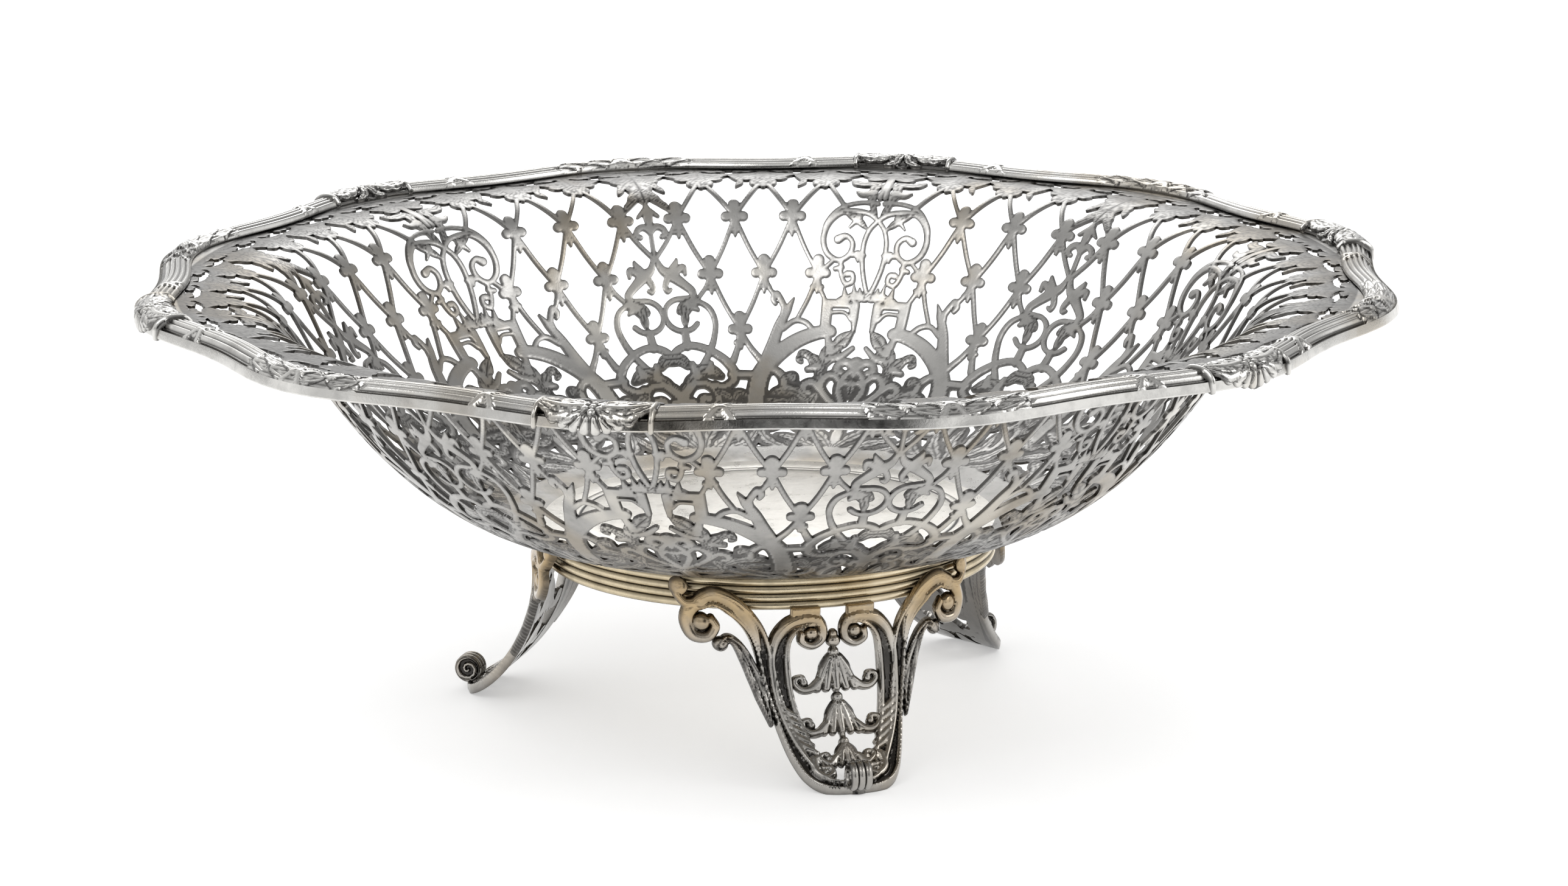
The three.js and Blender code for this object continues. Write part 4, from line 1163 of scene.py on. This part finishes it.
    def leaves(self, along: Array, across: Array) -> tuple[Array, Array]:
        """Acanthus leaves that overlap like tiles and point away from the middle of their length.

        Two staggered sets are saw-tooth waves whose tips bulge by a cosine across the border; the
        higher set shows. Veins fan out from each leaf's base, and a painted shadow lies just past its
        tip, on the leaf below.

        Args:
            along: Distance from the middle of the length.
            across: Distance from the middle of the moulding.

        Returns:
            Rise and ink.
        """
        pitch, width = self.leaf_pitch, self.leaf_width
        rises, veins, tips = [], [], []
        for offset in (0.0, 0.5):
            place = across - offset * width
            bulge = 1.9 * np.cos(FULL_TURN * place / width) + 0.7 * np.abs(across)
            phase = (np.abs(along) + bulge) / pitch + offset
            tooth = phase - np.floor(phase)
            side = (place + width / 2) % width - width / 2
            vein = 0.5 + 0.5 * np.cos(FULL_TURN * side / (0.35 + 0.65 * tooth) / 1.25)
            rises.append(0.2 + 0.75 * tooth**1.3 - 0.16 * vein)
            veins.append(0.75 * vein**2)
            # Painted shadow: a dark line just past each leaf's tip, laid on the other set of leaves.
            tips.append(0.95 * (1 - smooth_step(tooth, 0.03, 0.16)))
        inks = np.maximum(veins[0], tips[1]), np.maximum(veins[1], tips[0])
        first = rises[0] > rises[1]
        return np.where(first, *rises), np.where(first, *inks)

    def length_relief(self, centre: float) -> Callable:
        """What lies on one length: reeds, two crossed ribbons and a leafy middle.

        Args:
            centre: Azimuth of its middle.

        Returns:
            The relief function for surface.
        """

        def relief(azimuth: Array, share: Array) -> tuple[Array, Array]:
            """Chooses reeds or leaves by the distance from the middle, then lays the ribbons.

            Args:
                azimuth: Place along the border.
                share: Place across it.

            Returns:
                Rise and ink.
            """
            along = (azimuth - centre) * self.radius
            across = (share - 0.5) * (self.width - self.lean) + 0 * along
            leafy = np.abs(along) < self.leafy_half + 1.2 * np.cos(FULL_TURN * across / 2.2)
            fade = smooth_step(share, 0, 0.05) * (1 - smooth_step(share, 0.95, 1))
            leaf_rise, leaf_ink = self.leaves(along, across)
            reed_rise, reed_ink = self.reeding(share)
            rise, ink = np.where(leafy, leaf_rise * fade, reed_rise), np.where(leafy, leaf_ink, reed_ink)
            for place in self.straps:
                rise, ink = self.ribbon(along - math.radians(place) * self.radius, across, rise, ink)
            return rise * (0.25 + 0.75 * fade), ink

        return relief

    def crown(self) -> Profile:
        """The line that a clasp's leaves follow: from inside the moulding over its crown and down
        past the lip, as distance beyond the edge and height."""
        line = [(-10.4, 116.0), (-9.2, 116.6), (-7.8, 117.9), (-5.8, 118.25), (-3.6, 118.1), (-1.8, 117.4),
                (-0.5, 116.2), (-0.25, 114.8), (-0.4, 113.0), (-1.2, 110.4)]
        return Profile(flowing(line, 12))

    def clasp_layout(self) -> Relief:
        """Half a clasp, its rows along the crown: leaves that run along the border from a small
        flower, a curl over them, lobes that hang at the lip and a collar at the end.

        Returns:
            The layout.
        """
        sheet = Relief(np.arange(0, 15.4, self.clasp_step), np.arange(-0.5, 18.4, self.clasp_step))
        sheet.draw(CLASP_GROUND)
        sheet.ink[sheet.cover > 0] = 0.85
        sheet.draw(CLASP_LEAVES)
        for x, y in ((1.4, 14.0), (4.0, 13.5), (6.7, 12.8), (9.2, 11.8)):
            sheet.lay([(0.6 * x, 0.4 * y + 5.6), (x, y)], [0.9, 2.5], ROUND, height=0.8)
        curl, *flower = CLASP_FLOWER
        angles = np.linspace(0, FULL_TURN, 6, endpoint=False)
        petals = [([(2 * math.sin(a), 7.6 + 2 * math.cos(a))], [2.2], ROUND) for a in angles]
        sheet.draw([curl, *petals, *flower])
        return sheet

    def clasp(self, centre: float, number: int, material: bpy.types.Material) -> None:
        """Lays a clasp's leaves over a plain length of moulding.

        Args:
            centre: Azimuth of its middle.
            number: Which clasp it is.
            material: Its finish.
        """
        half = math.radians(self.clasp_half)
        stations = np.linspace(centre - half, centre + half, 60)

        def plain(azimuth: Array, share: Array) -> tuple[Array, Array]:
            """Bare moulding, a little raised and dark all over."""
            level = 0 * azimuth * share
            return 0.1 + level, 0.6 + level

        bed = self.surface(stations, plain, f"clasp_bed_{number}")
        crown = self.crown()

        def place(column: Array, row: Array, rise: Array, side: Array) -> Array:
            """A point on the leaves' face at side 1, and under the moulding's skin at side 0."""
            azimuth = centre + column / self.radius
            beyond, height = crown.at(row, np.where(side > 0.5, 0.1 + 0.9 * rise, -0.8))
            return polar(azimuth, self.edge(azimuth) + beyond, height)

        vertices, faces, ink = self.clasp_layout().mirrored().mesh(place)
        leaves = mesh_piece(f"leaf_clasp_{number}", vertices, faces, ink, sharp=50)
        for piece in (bed, leaves):
            dressed(piece, material, Slot.BRIGHT, f"border_clasp_{number}")

    def build(self) -> None:
        """Makes the six lengths and the six clasps."""
        material = BRIGHT.material()
        sector = FULL_TURN / SECTORS
        half = sector / 2 - math.radians(self.clasp_half) - self.seat / self.radius
        for k in range(SECTORS):
            centre = k * sector
            stations = np.linspace(centre - half, centre + half, 330)
            piece = self.surface(stations, self.length_relief(centre), f"reeded_border_{k + 1}")
            dressed(piece, material, Slot.BRIGHT, f"border_section_{k + 1}")
            self.clasp(centre + sector / 2, k + 1, material)


# Foot ring


@dataclass
class FootRing:
    """The reeded hoop under the floor. relief is how deep the hollows between its reeds are."""

    radius: float = RING_RADIUS
    wall: float = 2.0
    bottom: float = RING_BOTTOM
    top: float = 50.6
    reeds: int = 4
    relief: float = 0.62

    def build(self) -> None:
        """Turns a section whose outer side is a row of half rounds about the basket's axis."""
        share = np.linspace(1, 0, 49)
        wave = np.abs(np.sin(np.pi * self.reeds * share))
        inner = self.radius - self.wall
        radius = np.concatenate([[inner, inner], self.radius - self.relief * (1 - wave**0.75)])
        height = np.concatenate([[self.bottom, self.top], self.bottom + (self.top - self.bottom) * share])
        ink = np.concatenate([[0.3, 0.3], 0.95 * (1 - smooth_step(wave, 0.1, 0.45))])
        piece = turned("reeded_ring", radius, height, ink, 240)
        dressed(piece, TARNISHED.material(), Slot.TARNISHED, "foot_ring")


# Feet


@dataclass
class Foot:
    """One cast foot: a frame of channelled scrolls, a drop of bellflowers and a rolled toe. Its
    flat layout has x across the leg and y down it, and its row at lap lies on the leg's top edge.
    The bows are the radii of the leg's cross curve at the ring and at the toe."""

    number: int
    depth: float = 2.6
    drop_depth: float = 2.4
    step: float = 0.34
    half_width: float = 43.0
    top_bow: float = 64.0
    toe_bow: float = 600.0
    row_scale: float = 0.9587
    lap: float = 1.3
    toe_half: float = 2.75
    toe_radius: float = 3.2
    toe_centre: tuple[float, float] = (83.2, 5.1)
    leg: Profile = field(default_factory=leg_profile)

    @property
    def turn(self) -> float:
        """Azimuth of the foot."""
        return FULL_TURN * (self.number - 1) / FEET

    def sheet(self) -> Relief:
        """An empty half layout, from the middle of the leg outwards."""
        columns = np.linspace(0, self.half_width, int(self.half_width / self.step))
        return Relief(columns, np.arange(-2.0, 64.5, self.step))

    def on_leg(self, across: Array, down: Array, depth: Array) -> Array:
        """A point of the leg: its cross curve is an arc of radius bow, which grows from the ring
        to the toe because its curvature falls off evenly.

        Args:
            across: Distance from the middle of the leg.
            down: Distance down it.
            depth: Distance outwards from its back.

        Returns:
            The points, with everything below the table pressed flat onto it.
        """
        share = np.clip(down / self.leg.length, 0, 1)
        bow = 1 / (1 / self.top_bow + (1 / self.toe_bow - 1 / self.top_bow) * share)
        radius, height = self.leg.at(down, depth)
        outward = radius - bow * (1 - np.cos(across / bow))
        sideways = bow * np.sin(across / bow)
        azimuth = self.turn + np.arctan2(sideways, outward)
        return polar(azimuth, np.hypot(sideways, outward), np.maximum(height, 0.02))

    def bent(self, relief: Relief, low: float, thick: float, name: str) -> Piece:
        """Bends a layout to the leg's side view, its height measured outwards from the leg's back.

        Args:
            relief: The half layout.
            low: Where its flat back lies.
            thick: Its thickness at full rise.
            name: The piece's name.

        Returns:
            The mesh object.
        """

        def place(x: Array, y: Array, rise: Array, side: Array) -> Array:
            """A point on the back at side 0, and on the modelled front at side 1."""
            return self.on_leg(x, (y - self.lap) * self.row_scale, low + thick * side * (0.35 + 0.65 * rise))

        vertices, faces, ink = relief.mirrored().mesh(place, edge=0.15, back=0.6)
        return mesh_piece(name, vertices, [f[:, ::-1] for f in faces], ink, sharp=42)

    def frame_layout(self) -> Relief:
        """Half of the frame: a block, the scrolls, the ridges that bind them and the tongue.

        Returns:
            The layout.
        """
        sheet = self.sheet()
        sheet.block(3.4, 11.0, 6.9, 9.4, 0.45)
        sheet.draw(FOOT_SCROLLS)
        for y in (35.2, 37.9, 40.6, 43.3, 46.0):
            x = 13.6 - 0.34 * (y - 35.2)
            sheet.lay([(x - 2.6, y + 1.9), (x, y), (x + 2.4, y - 2.4)], [1.3, 2.7, 1.2], ROUND)
        sheet.draw(FOOT_TONGUE)
        return sheet

    def bellflower(self, top: float, bottom: float, half: float, reach: float, curl: float) -> Drawing:
        """A round shouldered body with five raised petals, and a curling arm.

        Args:
            top: Row of its shoulder.
            bottom: Row of its petals' tips.
            half: Half its width.
            reach: How far its arm goes sideways.
            curl: Row of the arm's curl.

        Returns:
            Its strokes.
        """
        tall = bottom - top
        shoulder, hem = (0, top + 0.2 * tall), (0, bottom - 0.95 * half)
        body = ([(0, top), shoulder, hem], [1.8, 1.15 * half, 1.8 * half], ROUND, 0, 0.6)
        wide, petals = [0.8, 0.46 * half, 0.44 * half], []
        for x in (1.0, 0.52, 0.0):
            bulge, tip = (0.62 * x * half, top + 0.45 * tall), (x * half, bottom - 0.3)
            petals.append(([(0.25 * x * half, top + 0.3), bulge, tip], wide, ROUND, 0, 1.0 - 0.25 * x))
        arm = ([(0.85 * half, bottom - 2.4), (1.3 * half, bottom - 0.5), (reach - 1.9, bottom - 0.3),
                (reach - 0.2, bottom - 1.9), (reach - 0.4, curl + 0.3), (reach - 2.0, curl),
                (reach - 2.4, curl + 1.3)], [2.4, 2.5, 2.2, 1.9, 1.8, 1.8, 1.8], ROUND, 0, 0.9)
        return body, *petals, arm, ([(reach - 2.4, curl + 1.4)], [2.3], ROUND, 0, 0.95)

    def drop_layout(self) -> Relief:
        """The stem, the beads and the three bellflowers with their curling arms.

        Returns:
            The layout.
        """
        sheet = self.sheet()
        sheet.draw(DROP_STEM)
        sheet.draw(self.bellflower(20.5, 29.8, 5.0, 10.8, 26.2))
        sheet.draw(self.bellflower(33.2, 41.8, 4.6, 10.2, 38.0))
        sheet.draw(self.bellflower(45.2, 51.6, 3.6, 7.2, 48.2))
        sheet.draw(DROP_BEADS)
        return sheet

    def toe(self) -> Piece:
        """The toe is the band's end, rolled up into a scroll: a drum with three flutes round it,
        whose flat ends sink along a spiral. Its radius dips by a sine at each flute's edge.

        Returns:
            The mesh object.
        """
        half, core, (centre_r, centre_z) = self.toe_half, self.toe_radius, self.toe_centre
        cap, face = np.linspace(0.03, 0.97, 16), np.linspace(-1, 1, 37)
        wave = np.abs(np.cos(1.5 * np.pi * face))
        x = np.concatenate([np.full(cap.size, -half), half * face, np.full(cap.size, half)])
        fluted = core + 0.55 * wave**0.7 + 0.15 * (1 - face**2)
        size = np.concatenate([core * cap, fluted, core * cap[::-1]])
        angle = np.linspace(0, FULL_TURN, 64, endpoint=False)[:, None]
        flat = np.concatenate([cap, np.ones(face.size), cap[::-1]])
        spiral = (1.7 * flat - angle / FULL_TURN) % 1.0
        hollow = smooth_step(np.abs(spiral - 0.5), 0.12, 0.3) * smooth_step(1 - flat, 0.0, 0.2)
        x = x * (1 - 0.3 * hollow)
        radius = centre_r + size * np.cos(angle)
        height = np.maximum(centre_z + size * np.sin(angle), 0.05)
        grooves = np.concatenate([0 * cap, 0.9 * (1 - smooth_step(wave, 0.1, 0.5)), 0 * cap])
        ink = np.maximum(0.95 * hollow, grooves)
        points = polar(self.turn + np.arctan2(x, radius), np.hypot(x, radius), height)
        ring, tip = np.arange(angle.size) * flat.size, angle.size * flat.size
        faces = [grid_faces(angle.size, flat.size, closed=True), fan(ring, tip),
                 fan(ring + flat.size - 1, tip + 1)[:, ::-1]]
        points = np.concatenate([points.reshape(-1, 3), points[:, [0, -1]].mean(0)])
        ink = np.concatenate([ink.ravel(), [0.9, 0.9]])
        return mesh_piece(f"scrolled_toe_{self.number}", points, faces, ink)

    def build(self) -> None:
        """Makes the frame, the drop and the toe of this foot."""
        material, n = CAST.material(), self.number
        frame_piece = self.bent(self.frame_layout(), 0.0, self.depth, f"scroll_frame_{n}")
        drop = self.bent(self.drop_layout(), 0.1, self.drop_depth, f"bellflowers_{n}")
        for piece, node in ((frame_piece, "leg_frame"), (drop, "bellflower_drop"), (self.toe(), "shell_toe")):
            dressed(piece, material, Slot.OXIDISED, f"{node}_{n}")


# Studio


def hung(data: bpy.types.ID, axes: Array, place: Sequence[float]) -> Piece:
    """Puts a camera or lamp in the scene.

    Args:
        data: The camera or lamp.
        axes: Its x, y and z axes, as columns. It looks along -z.
        place: Where it stands, in metres.

    Returns:
        The object.
    """
    made = bpy.data.objects.new(data.name, data)
    bpy.context.scene.collection.objects.link(made)
    matrix = np.eye(4)
    matrix[:3, :3], matrix[:3, 3] = axes, place
    made.matrix_world = Matrix(matrix.tolist())
    return made


@dataclass(frozen=True)
class Studio:
    """A pale floor, a white backdrop, soft lamps and the camera."""

    camera_distance: float = 1.37796
    camera_height: float = 0.40717
    camera_azimuth: float = math.radians(-15.417)
    pitch: float = 0.23898
    yaw: float = 0.00297
    roll: float = -0.00659
    lens: float = 124.142
    floor_half: float = 6.0
    floor_glow: float = 0.39
    basket_middle: float = 0.08

    def camera(self) -> None:
        """Puts the camera where the photograph was taken: its axes come from yaw, pitch and roll,
        turned by its azimuth about the basket."""
        level = np.array([math.sin(self.yaw), math.cos(self.yaw), 0.0])
        forward = level * math.cos(self.pitch) - np.array([0, 0, math.sin(self.pitch)])
        right = np.array([math.cos(self.yaw), -math.sin(self.yaw), 0.0])
        right = right * math.cos(self.roll) + np.cross(right, forward) * math.sin(self.roll)
        c, s = math.cos(self.camera_azimuth), math.sin(self.camera_azimuth)
        spin = np.array([[c, -s, 0], [s, c, 0], [0, 0, 1]])
        data = bpy.data.cameras.new("studio_camera")
        data.lens, data.sensor_width, data.clip_end = self.lens, 36.0, 30.0
        axes = np.stack([right, np.cross(right, forward), -forward], 1)
        place = np.array([0, -self.camera_distance, self.camera_height])
        bpy.context.scene.camera = hung(data, spin @ axes, spin @ place)

    def lamp(self, name: str, place: tuple[float, float, float], size: float, watts: float) -> None:
        """A square soft lamp that looks at the basket.

        Args:
            name: Its name.
            place: Where it hangs, in metres.
            size: Its side.
            watts: Its power.
        """
        data = bpy.data.lights.new(name, "AREA")
        data.size, data.energy = size, watts
        away = np.array(place) - np.array([0, 0, self.basket_middle])
        away = away / np.linalg.norm(away)
        side = np.cross([0.0, 1.0, 0.001], away)
        side = side / np.linalg.norm(side)
        hung(data, np.stack([side, np.cross(away, side), away], 1), place)

    def floor(self) -> None:
        """A wide pale floor that shows white to the camera and in reflections, and keeps shadows:
        its surface is paper with a faint white light of its own."""
        corners = self.floor_half / MM * np.array([[-1, -1, 0], [1, -1, 0], [1, 1, 0], [-1, 1, 0]])
        floor = mesh_piece("studio_floor", corners, [np.array([[0, 1, 2, 3]])])
        paper = bpy.data.materials.new("studio_paper")
        n = Nodes(paper)
        shader = paper.node_tree.nodes["Principled BSDF"]
        shader.inputs["Base Color"].default_value = (0.92, 0.92, 0.92, 1)
        shader.inputs["Roughness"].default_value = 0.9
        shader.inputs["Specular IOR Level"].default_value = 0.0
        rays = n.add("ShaderNodeLightPath").outputs
        mirrored = n.maths("MAXIMUM", rays["Is Glossy Ray"], rays["Is Transmission Ray"])
        seen = n.maths("MAXIMUM", rays["Is Camera Ray"], mirrored)
        strength = n.maths("MULTIPLY", seen, self.floor_glow)
        glow = n.add("ShaderNodeEmission", {"Color": (1, 1, 1, 1), "Strength": strength})
        both = n.add("ShaderNodeAddShader", {0: shader.outputs[0], 1: glow.outputs[0]})
        n.feed(paper.node_tree.nodes["Material Output"].inputs["Surface"], both.outputs[0])
        floor.data.materials.append(paper)

    def world(self) -> None:
        """White where the camera sees it. For lamps and metal it is a soft room, bright at the
        horizon and grey above, uneven like a tent of cloth, and dark round the camera."""
        world = bpy.data.worlds.new("studio_room")
        bpy.context.scene.world = world
        n = Nodes(world)
        place = n.add("ShaderNodeTexCoord").outputs["Generated"]
        up = n.add("ShaderNodeSeparateXYZ", {0: place}).outputs["Z"]
        towards = np.array([math.sin(self.camera_azimuth), -math.cos(self.camera_azimuth), 0.22])
        both = {0: place, 1: tuple(towards / np.linalg.norm(towards))}
        facing = n.add("ShaderNodeVectorMath", both, operation="DOT_PRODUCT").outputs["Value"]
        cloth = n.span(n.noise(place, 1.9, 1.0), 0.38, 0.62, 0.5, 1.35)
        room = n.maths("MULTIPLY", n.span(up, 0.0, 0.9, 0.95, 0.62), cloth, clamp=False)
        room = n.maths("MULTIPLY", room, n.span(facing, 0.93, 0.985, 1.0, 0.03), clamp=False)
        seen = n.add("ShaderNodeLightPath").outputs["Is Camera Ray"]
        back = world.node_tree.nodes["Background"]
        n.feed(back.inputs["Strength"], n.maths("MAXIMUM", seen, room, clamp=False))
        back.inputs["Color"].default_value = (1, 1, 1, 1)

    def build(self) -> None:
        """Sets up everything round the basket."""
        bpy.context.scene.view_settings.view_transform = "Standard"
        self.camera()
        self.floor()
        self.world()
        self.lamp("key_lamp", (-0.9, -0.7, 1.5), 0.9, 9.0)
        self.lamp("fill_lamp", (1.2, -0.5, 1.0), 0.8, 5.0)
        self.lamp("back_lamp", (0.2, 1.3, 1.1), 1.0, 6.0)


def main() -> None:
    """Builds the basket and its studio."""
    logging.basicConfig(level=logging.INFO)
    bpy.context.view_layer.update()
    Studio().build()
    PiercedBowl().build()
    Border().build()
    FootRing().build()
    for number in range(1, FEET + 1):
        Foot(number).build()


if __name__ == "__main__":
    main()
